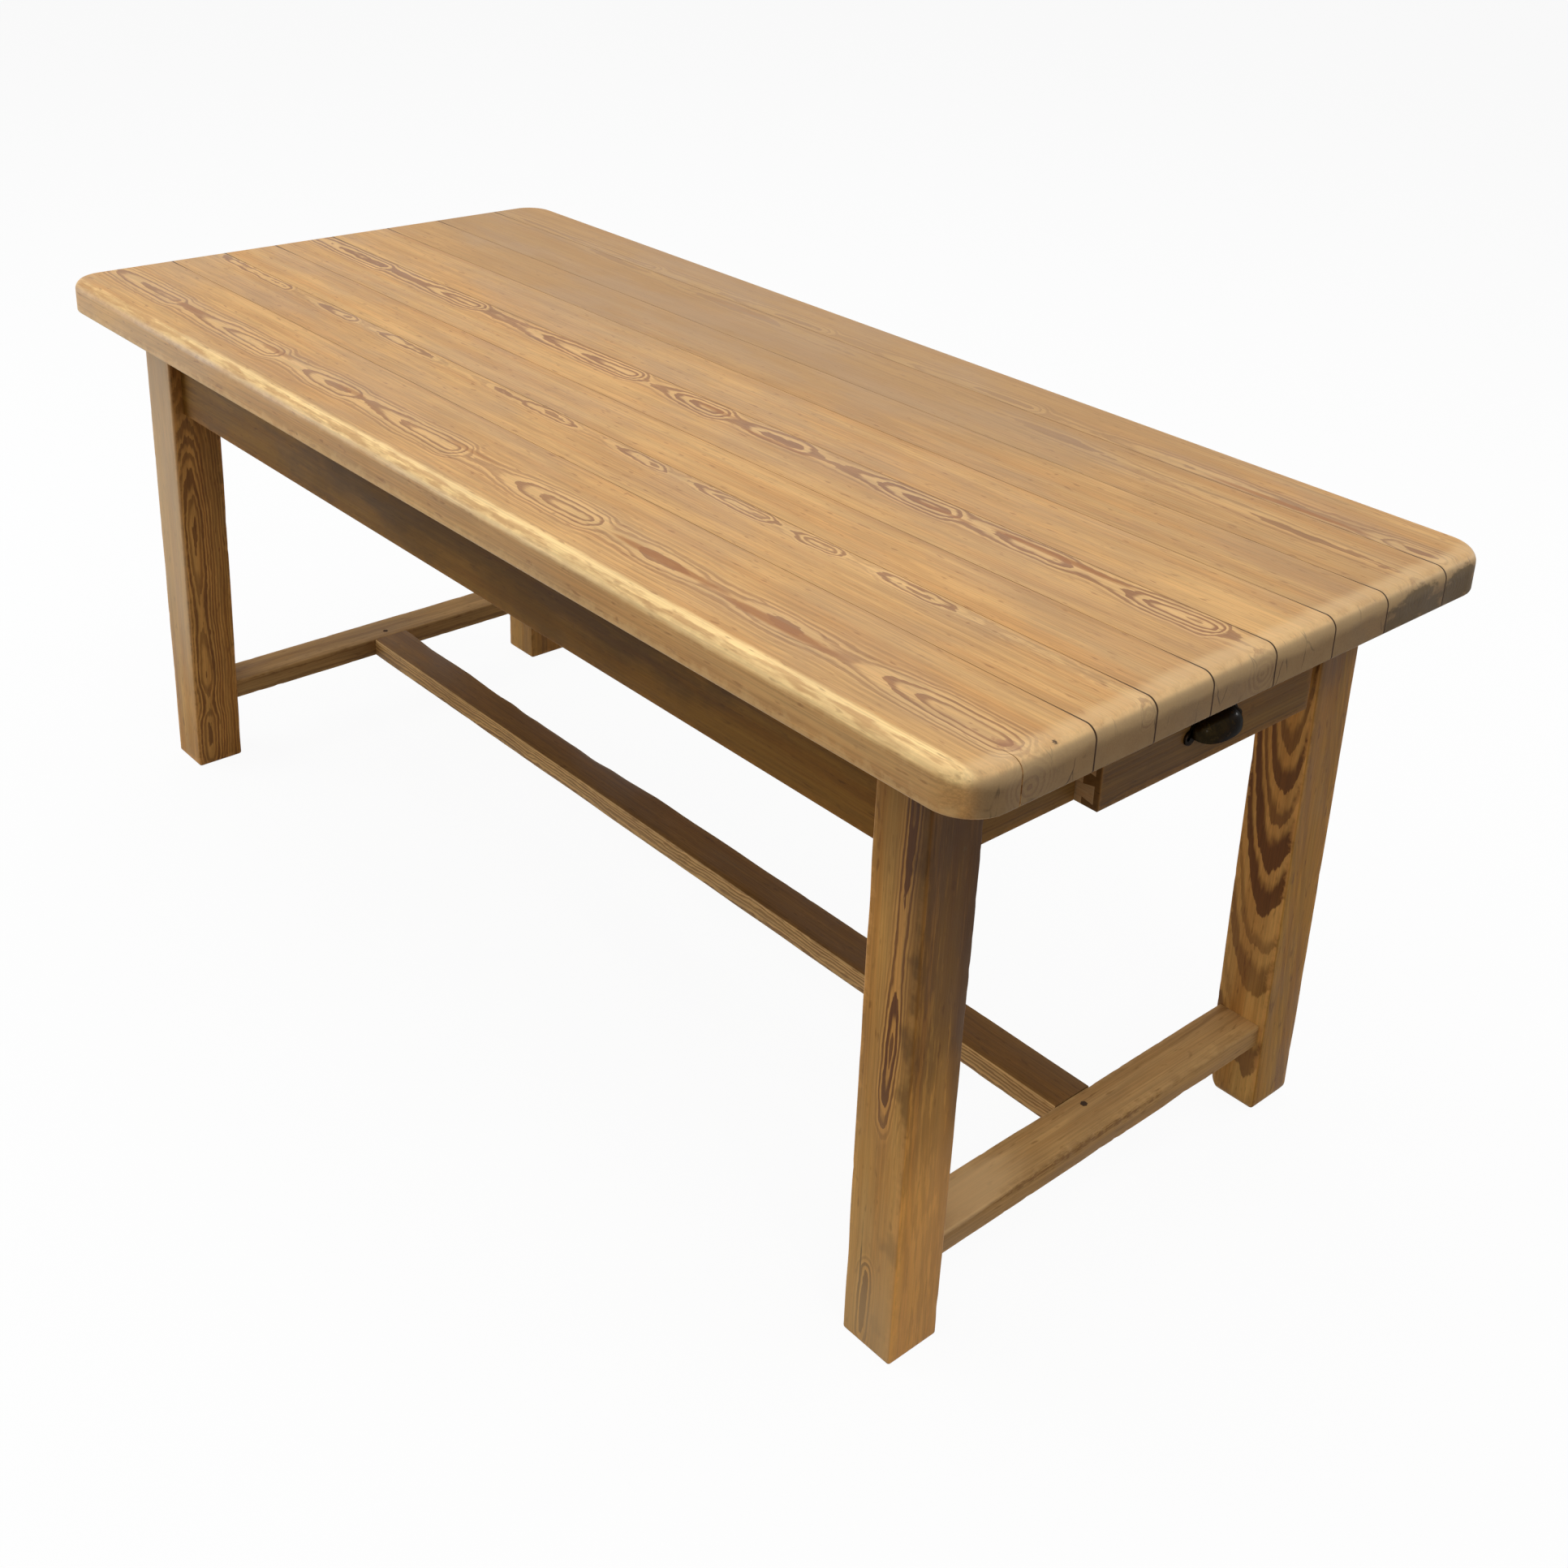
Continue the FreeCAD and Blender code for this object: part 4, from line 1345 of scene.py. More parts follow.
    def _wear_down(self, place: Vector, bar: Bar, middle: Vector, size: Vector) -> Vector:
        """Moves one point of a bar inwards by its taper, hollows, knocks and dips.

        Args:
            place: The point.
            bar: The bar's shape.
            middle: The bar's middle.
            size: The bar's size.

        Returns:
            The worn point.
        """
        along = place.x
        share = [(place[axis] - middle[axis]) / (size[axis] / 2) for axis in (1, 2)]
        corner = tuple(1 if part > 0 else -1 for part in share)
        inset = math.hypot(*((1 - abs(part)) * width / 2 for part, width in zip(share, size.yz)))
        close = max(0.0, 1 - inset / self.arris_reach)
        knocked = close ** 2 * (3 - 2 * close) * self._depth(along, corner, bar) * self.knock_depth
        spot = Vector((along * self.sag_rate, bar.seed + self.sag_shift, share[0] + 2 * share[1]))
        sag = bar.hollow * (1 - self.sag_spread + self.sag_spread * noise.noise(spot))
        near_foot = 1 - (along - bar.start) / bar.foot if bar.foot else 0.0
        if near_foot > 0:
            sag += bar.foot * (1 - math.sqrt(1 - min(1.0, near_foot) ** 2))
        worn = place.copy()
        for axis in (0, 1):
            worn[axis + 1] -= knocked * corner[axis] + sag * share[axis]
            if bar.taper and along < bar.taper_end:
                slope = bar.taper * (1 - along / bar.taper_end)
                worn[axis + 1] += bar.outer[axis] * slope * (1 - bar.outer[axis] * share[axis]) / 2
        return worn

    def _depth(self, along: float, corner: tuple[int, ...], bar: Bar) -> float:
        """Finds how deep an arris is worn at one place.

        Args:
            along: The place along the grain in millimetres.
            corner: Which arris, as signs on the two axes across the grain.
            bar: The bar's shape.

        Returns:
            The depth in millimetres.
        """
        shift = sum(side * step for side, step in zip(corner, self.corner_shift))
        spot = Vector((along * self.knock_rate, bar.seed, shift))
        chip = max(0.0, noise.noise(spot * self.chip_rate) - self.chip_floor)
        depth = bar.chips * (max(0.0, noise.noise(spot)) + self.chip_depth * chip)
        for dip in bar.dips:
            if dip.corner == corner:
                chewed = noise.noise(Vector((along * dip.bite, bar.seed, self.dip_shift)))
                ragged = self.dip_mean + self.dip_spread * chewed
                depth += dip.depth * ragged * max(0.0, 1 - ((along - dip.middle) / dip.reach) ** 2)
        return depth

    def _add_tenons(
        self, mesh: bmesh.types.BMesh, bar: Bar, corners: list[list[float]], middle: Vector
    ) -> None:
        """Adds the tenons that run on past the shoulders.

        Args:
            mesh: The mesh that they go into.
            bar: The bar's shape.
            corners: The lower and upper corner of the CAD solid along the bar.
            middle: The bar's middle.
        """
        if not bar.tenon[0]:
            return
        for shoulder, tip in ((bar.start, corners[0][0]), (bar.end, corners[1][0])):
            spot = Vector(((shoulder + tip) / 2, middle.y, middle.z))
            form = Matrix.Diagonal((abs(tip - shoulder) + self.tenon_lap, *bar.tenon, 1.0))
            bmesh.ops.create_cube(mesh, size=1.0, matrix=Matrix.Translation(spot) @ form)


@dataclass
class PlankTop(Timbers):
    """The eight boards of the top, each with the figure that its face shows.

    Attributes:
        reach: Half the length of the top in metres.
        surface: The height of its face in metres.
        joints: Where the boards meet across the top, in metres.
        open_from: How far from the middle the joints start to open, in metres.
        rubbed: The band rubbed pale along the drawer end.
        painted_back_shade: Painted shade that darkens the back half of the top.
        lens: The colour of a ring that the plane has sliced flat.
        lens_fade: How far such a ring fades out beyond its length, as a factor.
        lens_depth: How deep it goes, in metres.
        far_end_shade: The colour of the painted shade on the end grain of the back boards.
    """

    finish: PineFinish = TOP_PINE
    reach: float = 0.92
    surface: float = 0.77
    joints: tuple[float, ...] = (-0.256, -0.170, -0.085, 0.015, 0.115, 0.210, 0.322)
    open_from: float = 0.79
    rubbed: Mark = Mark(
        (0.915, 0.0, 0.768), (0.032, 1.2, 0.022), tint(230, 196, 146), 0.36, (0.6, 24.0, 1.0), ragged=0.5
    )
    # Painted shade: the back half of the top is darkened, for the light that falls off there.
    painted_back_shade: Mark = Mark((-0.3, 0.34, 0.77), (1.1, 0.3, 0.1), tint(166, 128, 82), 0.62, ragged=0.6)
    lens: Colour = tint(154, 96, 40)
    lens_fade: float = 1.5
    lens_depth: float = 0.02
    # Painted shade on the end grain of the back boards.
    far_end_shade: Colour = tint(70, 56, 34)

    def __post_init__(self) -> None:
        """Sets how each board was sawn."""
        along = Grain.ALONG_X
        # Pale young wood along the front rounding, brightened further as a painted highlight where the
        # rounding catches the light.
        pale = Mark(
            (0.45, -0.409, 0.7665), (1.7, 0.015, 0.014), tint(254, 218, 152), 0.9, (40.0, 1.0, 1.0), 0.5
        )
        streak = Mark(
            (0.0, -0.4135, 0.7725), (2.0, 0.009, 0.009), tint(170, 112, 60), 0.5, (34.0, 1.2, 1.2), 2.6
        )
        self.figures = {
            "top_board_1": Figure(
                along, (-341, 760), ring=6.8, wander=10, ripple=9.0, feather=2.4, seed=1.3, contrast=1.0,
                body=0.28, core=40, sapwood_and_highlight=pale,
                swell=(
                    (-920, -14), (-720, 2), (-690, -7), (-440, 6), (-398, -11), (-240, 1), (-205, -7),
                    (0, 6), (42, -14), (262, 5), (308, -10), (410, -6), (500, -13), (600, -6), (670, -13),
                    (860, 8), (908, -14), (920, -16),
                ),
                marks=(
                    Mark((0.912, -0.304, 0.768), (0.003, 0.003, 0.006), tint(66, 46, 30), 0.9),
                    Mark((0.892, -0.342, 0.77), (0.018, 0.010, 0.01), tint(150, 96, 62), 0.55),
                    streak,
                    self._lens(0.41, -0.341, 0.080, 0.008, 0.8),
                    self._lens(0.593, -0.346, 0.072, 0.010, 0.85),
                    self._lens(0.03, -0.329, 0.05, 0.005, 0.5),
                    self._lens(-0.235, -0.336, 0.03, 0.006, 0.6),
                    self._lens(-0.43, -0.335, 0.035, 0.007, 0.6),
                    self._lens(-0.68, -0.341, 0.04, 0.006, 0.5),
                ),
            ),
            "top_board_2": Figure(
                along, (-182, 762), ring=4.4, wander=10, ripple=13.0, feather=3.0, seed=2.6, contrast=0.8,
                tone=0.99, body=0.25, core=20,
                swell=(
                    (-920, -5), (-700, 2), (-660, -7), (-515, 3), (-470, -6), (-380, 2), (-200, -6),
                    (0, 2), (60, -6), (186, 2), (230, -5), (369, 3), (410, -6), (483, 3), (520, -7),
                    (600, 1), (784, -5), (920, -4),
                ),
            ),
            "top_board_3": Figure(along, (-60, 700), ring=3.8, wander=14, seed=3.2, contrast=0.5, body=0.32),
            "top_board_4": Figure(
                along, (-6, 761), ring=6.4, wander=12, ripple=10.0, feather=2.6, seed=4.7, contrast=0.95,
                body=0.28, core=36,
                swell=(
                    (-920, -12), (-720, 0), (-688, -8), (-470, 3), (-428, -12), (-100, 5), (-52, -14),
                    (80, 3), (122, -10), (220, -5), (290, -14), (480, 2), (522, -9), (640, -5),
                    (700, -12), (830, 5), (872, -14), (920, -16),
                ),
                marks=(
                    self._lens(0.645, 0.002, 0.085, 0.007, 0.8),
                    self._lens(0.485, -0.009, 0.045, 0.004, 0.6),
                    self._lens(0.215, -0.018, 0.055, 0.005, 0.6),
                    self._lens(0.085, -0.004, 0.03, 0.006, 0.6),
                ),
            ),
            "top_board_5": Figure(
                along, (150, 705), ring=3.8, wander=16, seed=5.1, contrast=0.5, tone=0.98, body=0.32,
            ),
            "top_board_6": Figure(
                along, (168, 690), lean=(0.01, 0.0), ring=3.6, wander=16, seed=6.4, contrast=0.55, tone=0.89,
                body=0.32,
            ),
            "top_board_7": Figure(
                along, (296, 750), lean=(-0.03, 0.0), ring=5.4, wander=18, seed=7.9, contrast=0.8, tone=0.86,
                body=0.3, core=34,
                marks=(self._lens(-0.25, 0.305, 0.07, 0.006, 0.6), self._shaded_end_grain(0.27)),
            ),
            "top_board_8": Figure(
                along, (335, 760), ring=6.0, wander=12, ripple=9.0, feather=2.6, seed=8.5, contrast=0.9,
                tone=0.9, body=0.3, core=34,
                swell=(
                    (-920, -6), (-500, 3), (-452, -10), (-100, 2), (-60, -10), (300, 3), (342, -10),
                    (600, -5), (780, -9), (890, 3), (915, -12), (920, -13),
                ),
                marks=(self._lens(0.70, 0.331, 0.10, 0.006, 0.8), self._shaded_end_grain(0.36)),
            ),
        }

    def dress(self, shared: SharedGroups) -> None:
        """Gives every board its own material, rubbed pale at the ends and dark in the joints.

        Args:
            shared: The shared node groups.
        """
        box = box_of(*self.figures)
        for number, (node, figure) in enumerate(self.figures.items(), 1):
            seams = Seams(self.joints[max(0, number - 2):number], self.open_from, self.reach)
            # Every board also takes the painted shade over the back half of the top.
            whole = replace(figure, rubbed=self.rubbed, seams=seams, marks=(*figure.marks, self.painted_back_shade))
            wear(self.pieces[node], self.finish.material(node + "_pine", whole, box, shared))

    def _lens(self, along: float, across: float, reach: float, width: float, strength: float) -> Mark:
        """Makes the mark of a ring sliced flat, from its middle, half its length and width, and strength."""
        size = (reach * self.lens_fade, width, self.lens_depth)
        return Mark((along, across, self.surface), size, self.lens, strength, (3.0, 1.0, 1.0), ragged=0.45)

    def _shaded_end_grain(self, across: float) -> Mark:
        """Makes painted shade on the end grain of a board, where across is its middle in metres."""
        return Mark((self.reach, across, 0.738), (0.012, 0.08, 0.028), self.far_end_shade, 0.75, (1.0, 3.0, 2.0))


@dataclass
class Legs(WornTimbers):
    """The four legs.

    Attributes:
        height: The height of a leg under the top, in millimetres.
        taper: How much its inner faces come in at the foot, in millimetres.
        foot: How far the end of a leg is rounded, in millimetres.
        round_foot: How far the end of the leg at the back right is rounded, in millimetres.
        chip: How deep the knock in the foot of that leg is, in millimetres.
        crack: The colour of the crack in the near foot.
        shade: The colour of the painted shade under the top and on the shaded sides of the legs.
    """

    finish: PineFinish = FRAME_PINE
    height: float = 723.0
    taper: float = 4.0
    foot: float = 4.0
    round_foot: float = 13.0
    chip: float = 9.0
    crack: Colour = tint(60, 40, 24)
    shade: Colour = tint(64, 38, 9)

    def __post_init__(self) -> None:
        """Sets how each leg was sawn and how it has worn."""
        upright = Grain.ALONG_Z
        self.figures = {
            "leg_front_right": Figure(
                upright, (771, -341), lean=(0.036, 0.0), ring=4.4, wander=4, ripple=6.0, feather=2.0,
                seed=11.2, contrast=0.95, tone=1.12, body=0.3, core=20, quiet=(1.0, 0.0, 0.0),
                # Painted light: the +X side is made lighter and warmer, for the warm light that falls on it.
                painted_face_light=(1.22, 1.14, 0.90),
                swell=(
                    (0, 2), (40, -4), (95, -2), (150, 11), (250, 9), (300, 0), (385, -6), (480, -1),
                    (560, -2), (640, -4), (723, -5),
                ),
                marks=(
                    Mark((0.7655, -0.35, 0.08), (0.0012, 0.01, 0.075), self.crack, 0.9),
                    Mark((0.8165, -0.3, 0.61), (0.01, 0.0028, 0.0028), tint(214, 190, 150), 0.8),
                    # Painted shade under the top: the head of the leg is darkened on the +X side and on the
                    # -Y side.
                    Mark((0.85, -0.27, 0.78), (0.075, 0.3, 0.72), self.shade, 0.85, ragged=0.6),
                    Mark((0.778, -0.36, 0.74), (0.2, 0.02, 0.3), self.shade, 0.35, ragged=0.5),
                    # Painted shade down the back edge of the +X side, and over its middle painted shade
                    # broken into blotchy mottling of the wood.
                    Mark((0.83, -0.258, 0.36), (0.05, 0.045, 0.9), self.shade, 0.75, (1.5, 1.5, 6.0), 0.7),
                    Mark((0.83, -0.3, 0.45), (0.05, 0.07, 0.5), self.shade, 0.52, (1.0, 14.0, 8.0), 3.0),
                    # Painted light: both sides grow paler towards the foot, where more light reaches them.
                    Mark((0.83, -0.31, 0.06), (0.05, 0.09, 0.34), tint(228, 172, 104), 0.45, ragged=0.8),
                    Mark((0.778, -0.36, 0.0), (0.2, 0.016, 0.5), tint(220, 182, 128), 0.6, ragged=0.6),
                ),
            ),
            "leg_back_right": Figure(
                upright, (791, 381), lean=(0.0, -0.16), ring=9.0, wander=5, ripple=7.0, seed=12.4,
                # Painted shade: the +X side is made darker and warmer, for how the light falls on it.
                contrast=0.95, tone=1.14, quiet=(1.0, 0.0, 0.0), painted_face_light=(0.66, 0.62, 0.40), core=110,
                # Painted shade under the top, at the head of the leg.
                marks=(Mark((0.78, 0.31, 0.72), (0.2, 0.2, 0.16), self.shade, 0.45, ragged=1.0),),
            ),
            "leg_front_left": Figure(
                Grain.ALONG_Z_TURNED, (-330, -741), ring=4.4, wander=7, ripple=8.0, feather=4.0, seed=13.8,
                contrast=0.75, quiet=(0.0, -1.0, 0.0),
                swell=(
                    (0, -18), (60, -9), (110, -16), (160, -10), (260, -15), (390, -8), (470, -14),
                    (546, -24), (640, -36), (723, -44),
                ),
                marks=(
                    # Painted light: the -Y side is paler and cooler in its upper part, for the light from the
                    # front left.
                    Mark((-0.778, -0.36, 0.6), (0.2, 0.016, 0.8), tint(212, 190, 160), 0.6, ragged=0.5),
                ),
            ),
            "leg_back_left": Figure(upright, (-790, 320), ring=4.2, wander=10, seed=14.1),
        }
        outer_sides = {
            "leg_front_right": (1, -1), "leg_back_right": (1, 1), "leg_front_left": (-1, -1),
            "leg_back_left": (-1, 1),
        }
        for number, (node, outer) in enumerate(outer_sides.items(), 1):
            knocked = node == "leg_back_right"
            self.bars[node] = Bar(
                upright, 0.0, self.height, taper=self.taper, outer=outer, soft_start=True, seed=1.1 * number,
                foot=self.round_foot if knocked else self.foot,
                dips=(Dip((-1, -1), 0.0, 45.0, self.chip),) if knocked else (),
            )


@dataclass
class Stretchers(WornTimbers):
    """The H-stretcher, rubbed by feet along its outer edges.

    Attributes:
        end_shoulder: Where the shoulders of an end stretcher are, in millimetres from its middle.
        centre_shoulder: Where the shoulders of the centre stretcher are, in millimetres from its middle.
        tenon: The thickness and height of the tenons in millimetres.
        arris: The rounding of the arrises in millimetres.
    """

    finish: PineFinish = STEPPED_PINE
    end_shoulder: float = 278.0
    centre_shoulder: float = 748.5
    tenon: tuple[float, float] = (13.0, 38.0)
    arris: float = 2.5

    def __post_init__(self) -> None:
        """Sets how each stretcher was sawn and how it has worn."""
        long, cross = Grain.ALONG_X, Grain.ALONG_Y
        self.figures = {
            "end_stretcher_left": Figure(
                cross, (70, -800), ring=3.8, wander=10, seed=25.2, contrast=0.6, tone=0.74,
            ),
            "end_stretcher_right": Figure(
                cross, (60, 800), ring=4.0, wander=12, seed=26.9, contrast=0.5, tone=0.9,
                marks=(
                    Mark(
                        (0.8085, -0.05, 0.122), (0.004, 0.2, 0.006), tint(112, 74, 38), 0.6, (6.0, 9.0, 3.0)
                    ),
                    Mark((0.78, -0.27, 0.13), (0.06, 0.17, 0.012), tint(228, 190, 138), 0.6, ragged=0.7),
                ),
            ),
            "centre_stretcher": Figure(
                long, (-20, 100), ring=4.0, wander=14, ripple=10.0, seed=27.4, contrast=0.75, tone=1.22,
                # Painted shade: the top face is darkened, for the shade of the table top above it.
                quiet=(0.0, 0.0, 1.0), painted_face_light=(0.32, 0.26, 0.17),
            ),
        }
        low, high = -self.end_shoulder, self.end_shoulder
        self.bars = {
            "end_stretcher_left": Bar(cross, low, high, self.tenon, arris=self.arris, seed=5.5),
            "end_stretcher_right": Bar(
                cross, low, high, self.tenon, arris=self.arris, chips=1.2, seed=6.6,
                dips=(Dip((1, 1), -20.0, 190.0, 5.0, 0.11), Dip((1, 1), 150.0, 70.0, 2.5)), step=4.5,
            ),
            "centre_stretcher": Bar(
                long, -self.centre_shoulder, self.centre_shoulder, self.tenon[::-1], arris=self.arris,
                chips=0.7, seed=7.7,
                dips=(
                    Dip((1, 1), -330.0, 260.0, 7.0), Dip((1, 1), -640.0, 90.0, 3.5),
                    Dip((-1, 1), 120.0, 240.0, 2.5),
                ),
            ),
        }


@dataclass
class Aprons(Timbers):
    """The four aprons.

    Attributes:
        shaded: How light the front apron is, darker both for its dirtier wood and for painted shade under the
            top.
        shaded_end: How light the apron at the drawer end is.
    """

    finish: PineFinish = SHADED_PINE
    shaded: float = 0.44
    shaded_end: float = 0.48

    def __post_init__(self) -> None:
        """Sets how each apron was sawn."""
        long, cross = Grain.ALONG_X, Grain.ALONG_Y
        self.figures = {
            "apron_front": Figure(
                long, (-306, 642), ring=4.4, wander=20, ripple=12.0, seed=21.3, contrast=0.9,
                tone=self.shaded,
                # Painted light: the -Y face is made warmer, for the light that falls on it.
                quiet=(0.0, -1.0, 0.0), painted_face_light=(1.0, 0.90, 0.62),
                marks=(
                    # Painted shade along the top of the face, under the overhang of the top.
                    Mark((0.05, -0.34, 0.66), (0.6, 0.03, 0.1), tint(52, 35, 14), 0.5, (6.0, 1.0, 2.0), 1.4),
                    # Painted light along the lower edge of the face, below that shade.
                    Mark(
                        (0.1, -0.34, 0.59), (0.9, 0.03, 0.05), tint(140, 104, 50), 0.25, (20.0, 1.0, 3.0), 1.6
                    ),
                ),
            ),
            "apron_back": Figure(long, (318, 690), ring=4.2, wander=18, seed=22.5, contrast=0.7),
            "apron_left_end": Figure(cross, (640, -760), ring=4.2, wander=16, seed=23.7, contrast=0.7),
            "apron_drawer_end": Figure(
                cross, (700, 775), ring=4.0, wander=12, seed=24.6, contrast=0.6, tone=self.shaded_end,
            ),
        }


@dataclass
class TopFixings(Timbers):
    """The battens, buttons, runners and the stop under the top."""

    finish: PineFinish = INNER_PINE

    def __post_init__(self) -> None:
        """Sets how each hidden timber was sawn."""
        long, cross = Grain.ALONG_X, Grain.ALONG_Y
        self.figures = {
            "top_batten_left": Figure(cross, (690, -320), ring=3.8, seed=31.2, contrast=0.6),
            "top_batten_right": Figure(cross, (680, 290), ring=4.0, seed=32.6, contrast=0.6),
            "top_buttons": Figure(cross, (650, 40), ring=3.2, seed=33.1, contrast=0.6),
            "drawer_runner_front": Figure(long, (-160, 640), ring=3.6, seed=34.8, contrast=0.6),
            "drawer_runner_back": Figure(long, (280, 690), ring=3.6, seed=35.5, contrast=0.6),
            "drawer_stop": Figure(cross, (640, 400), ring=3.8, seed=36.3, contrast=0.6),
        }


@dataclass
class DrawerBox(Timbers):
    """The sides, back and bottom of the drawer."""

    finish: PineFinish = INNER_PINE

    def __post_init__(self) -> None:
        """Sets how each piece of the box was sawn."""
        long, cross = Grain.ALONG_X, Grain.ALONG_Y
        self.figures = {
            "drawer_side_front": Figure(long, (-150, 640), ring=3.4, seed=41.7, contrast=0.6),
            "drawer_side_back": Figure(long, (270, 620), ring=3.6, seed=42.2, contrast=0.6),
            "drawer_back": Figure(cross, (650, 380), ring=3.4, seed=43.9, contrast=0.6),
            "drawer_bottom": Figure(cross, (560, 600), ring=4.4, wander=22, seed=44.4, contrast=0.6),
        }


@dataclass
class DrawerFace(Timbers):
    """The drawer's front, finished as the frame is.

    Attributes:
        shaded: How light it is.
    """

    finish: PineFinish = SHADED_PINE
    shaded: float = 0.39

    def __post_init__(self) -> None:
        """Sets how the front was sawn."""
        self.figures = {
            "drawer_front": Figure(
                Grain.ALONG_Y, (655, 800), ring=4.2, wander=14, seed=45.6, contrast=0.65, tone=self.shaded,
            ),
        }


@dataclass
class CupPull:
    """The cast cup pull, modelled smooth over its CAD solid, in metres.

    Attributes:
        node: The CAD node that it stands for.
        half_width, reach: Half the width of the cup, and how far it stands out.
        wall, plate: The thickness of the casting, and of the rim and the ears.
        sweep: How far round the cup goes, in degrees.
        rim: How far the rim shows round the cup.
        ear_reach, ear_height: How far an ear goes from the middle, and its height.
        steps, ear_steps: How many steps the rounds of the cup and of an ear have.
        squareness: How full the ends of the cup are, 1 for an ellipse and less for fuller ends.
        weld: How close two points are that become one.
        sharp: The angle in degrees from which edges stay sharp.
        mesh: The mesh that it is modelled in.
    """

    node: str = "cup_pull"
    half_width: float = 0.038
    reach: float = 0.024
    wall: float = 0.0024
    sweep: float = 102.0
    plate: float = 0.0025
    rim: float = 0.003
    ear_reach: float = 0.0485
    ear_height: float = 0.017
    steps: int = 32
    ear_steps: int = 28
    squareness: float = 0.8
    weld: float = 1e-6
    sharp: float = 40.0
    mesh: bmesh.types.BMesh = field(default_factory=bmesh.new)

    def axis_point(self) -> Vector:
        """The middle of the cup's axis on the drawer's face."""
        low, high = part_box(self.node)
        return Vector((low.x, (low.y + high.y) / 2, high.z - self.reach - self.rim))

    def outline(self, half_width: float, reach: float) -> list[bmesh.types.BMVert]:
        """Adds the vertices of half a round-ended outline on the drawer's face.

        Args:
            half_width: Half its length.
            reach: Its height.

        Returns:
            The vertices from one end to the other.
        """
        middle = self.axis_point()
        row = []
        for step in range(self.steps + 1):
            turn = math.pi * step / self.steps
            run = math.copysign(abs(math.cos(turn)) ** self.squareness, math.cos(turn))
            rise = math.sin(turn) ** self.squareness if 0 < step < self.steps else 0.0
            row.append(self.mesh.verts.new(middle + Vector((0, half_width * run, reach * rise))))
        return row

    def build(self) -> bpy.types.Object:
        """Models the cup, its rim and its ears.

        Returns:
            The pull, riding on the drawer.
        """
        self._cup()
        self._rim()
        for side in (-1, 1):
            self._ear(side)
        self.mesh.normal_update()
        pull = as_object(self.mesh, "cup_pull_cast", self.sharp)
        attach(pull, "drawer")
        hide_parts(self.node)
        return pull

    def _cup(self) -> None:
        """Sweeps the outer outline round the axis and gives it a wall."""
        row = self.outline(self.half_width, self.reach)
        edges = [self.mesh.edges.new(pair) for pair in zip(row, row[1:])]
        bmesh.ops.spin(
            self.mesh, geom=row + edges, cent=self.axis_point(), axis=(0, 1, 0),
            angle=math.radians(self.sweep), steps=self.steps, use_merge=False,
        )
        bmesh.ops.remove_doubles(self.mesh, verts=self.mesh.verts, dist=self.weld)
        bmesh.ops.recalc_face_normals(self.mesh, faces=self.mesh.faces)
        middle = self.axis_point() + Vector((self.reach / 3, 0, self.reach / 3))
        inward = sum(face.normal.dot(face.calc_center_median() - middle) for face in self.mesh.faces) < 0
        if inward:
            bmesh.ops.reverse_faces(self.mesh, faces=self.mesh.faces)
        bmesh.ops.solidify(self.mesh, geom=list(self.mesh.faces), thickness=self.wall)

    def _rim(self) -> None:
        """Adds the flat rim round the cup."""
        outer = self.outline(self.half_width + self.rim, self.reach + self.rim)
        inner = self.outline(self.half_width - self.wall, self.reach - self.wall)
        self._thicken([self.mesh.faces.new(four) for four in zip(outer, outer[1:], inner[1:], inner)])

    def _ear(self, side: int) -> None:
        """Adds one ear.

        Args:
            side: -1 for the front ear, 1 for the back one.
        """
        middle = self.axis_point() + Vector((0, side * (self.ear_reach - self.ear_height / 2), 0))
        disc = bmesh.ops.create_circle(
            self.mesh, cap_ends=True, segments=self.ear_steps, radius=self.ear_height / 2,
            matrix=Matrix.Translation(middle) @ Matrix.Rotation(math.radians(90), 4, "Y"),
        )
        self._thicken(list({face for vert in disc["verts"] for face in vert.link_faces}))

    def _thicken(self, faces: list[bmesh.types.BMFace]) -> None:
        """Raises flat faces into a plate with softened edges.

        Args:
            faces: The faces that lie on the drawer.
        """
        raised = bmesh.ops.extrude_face_region(self.mesh, geom=faces)["geom"]
        moved = [item for item in raised if isinstance(item, bmesh.types.BMVert)]
        bmesh.ops.translate(self.mesh, verts=moved, vec=(self.plate, 0, 0))
        plate = {face for vert in moved for face in vert.link_faces} | set(faces)
        bmesh.ops.recalc_face_normals(self.mesh, faces=list(plate))

    def dress(self, pull: bpy.types.Object, shared: SharedGroups) -> None:
        """Puts dark bronze on the pull and old steel on its screws.

        Args:
            pull: The modelled pull.
            shared: The shared node groups.
        """
        wear(pull, DARK_BRONZE.material("dark_bronze", box_of(self.node), shared))
        screws = "cup_pull_screws"
        wear(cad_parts[screws], OLD_STEEL.material("pull_screw_steel", box_of(screws), shared))


@dataclass
class Fastenings:
    """The screws and the pegs, which keep their CAD shapes.

    Attributes:
        screws: The CAD nodes of steel.
        pegs: The CAD node of the pegs.
        figure: How the pegs were cut.
    """

    screws: tuple[str, ...] = ("batten_screws", "button_screws", "runner_screws")
    pegs: str = "stretcher_pegs"
    figure: Figure = Figure(
        Grain.ALONG_Z, (764, 2), ring=1.4, wander=2, ripple=0.6, seed=51.5, contrast=0.7
    )

    def dress(self, shared: SharedGroups) -> None:
        """Puts old steel on the screws and dark end grain on the pegs.

        Args:
            shared: The shared node groups.
        """
        for node in self.screws:
            wear(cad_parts[node], OLD_STEEL.material(node + "_steel", box_of(node), shared))
        dark = PEG_WOOD.material("peg_wood", self.figure, box_of(self.pegs), shared)
        wear(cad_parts[self.pegs], dark)


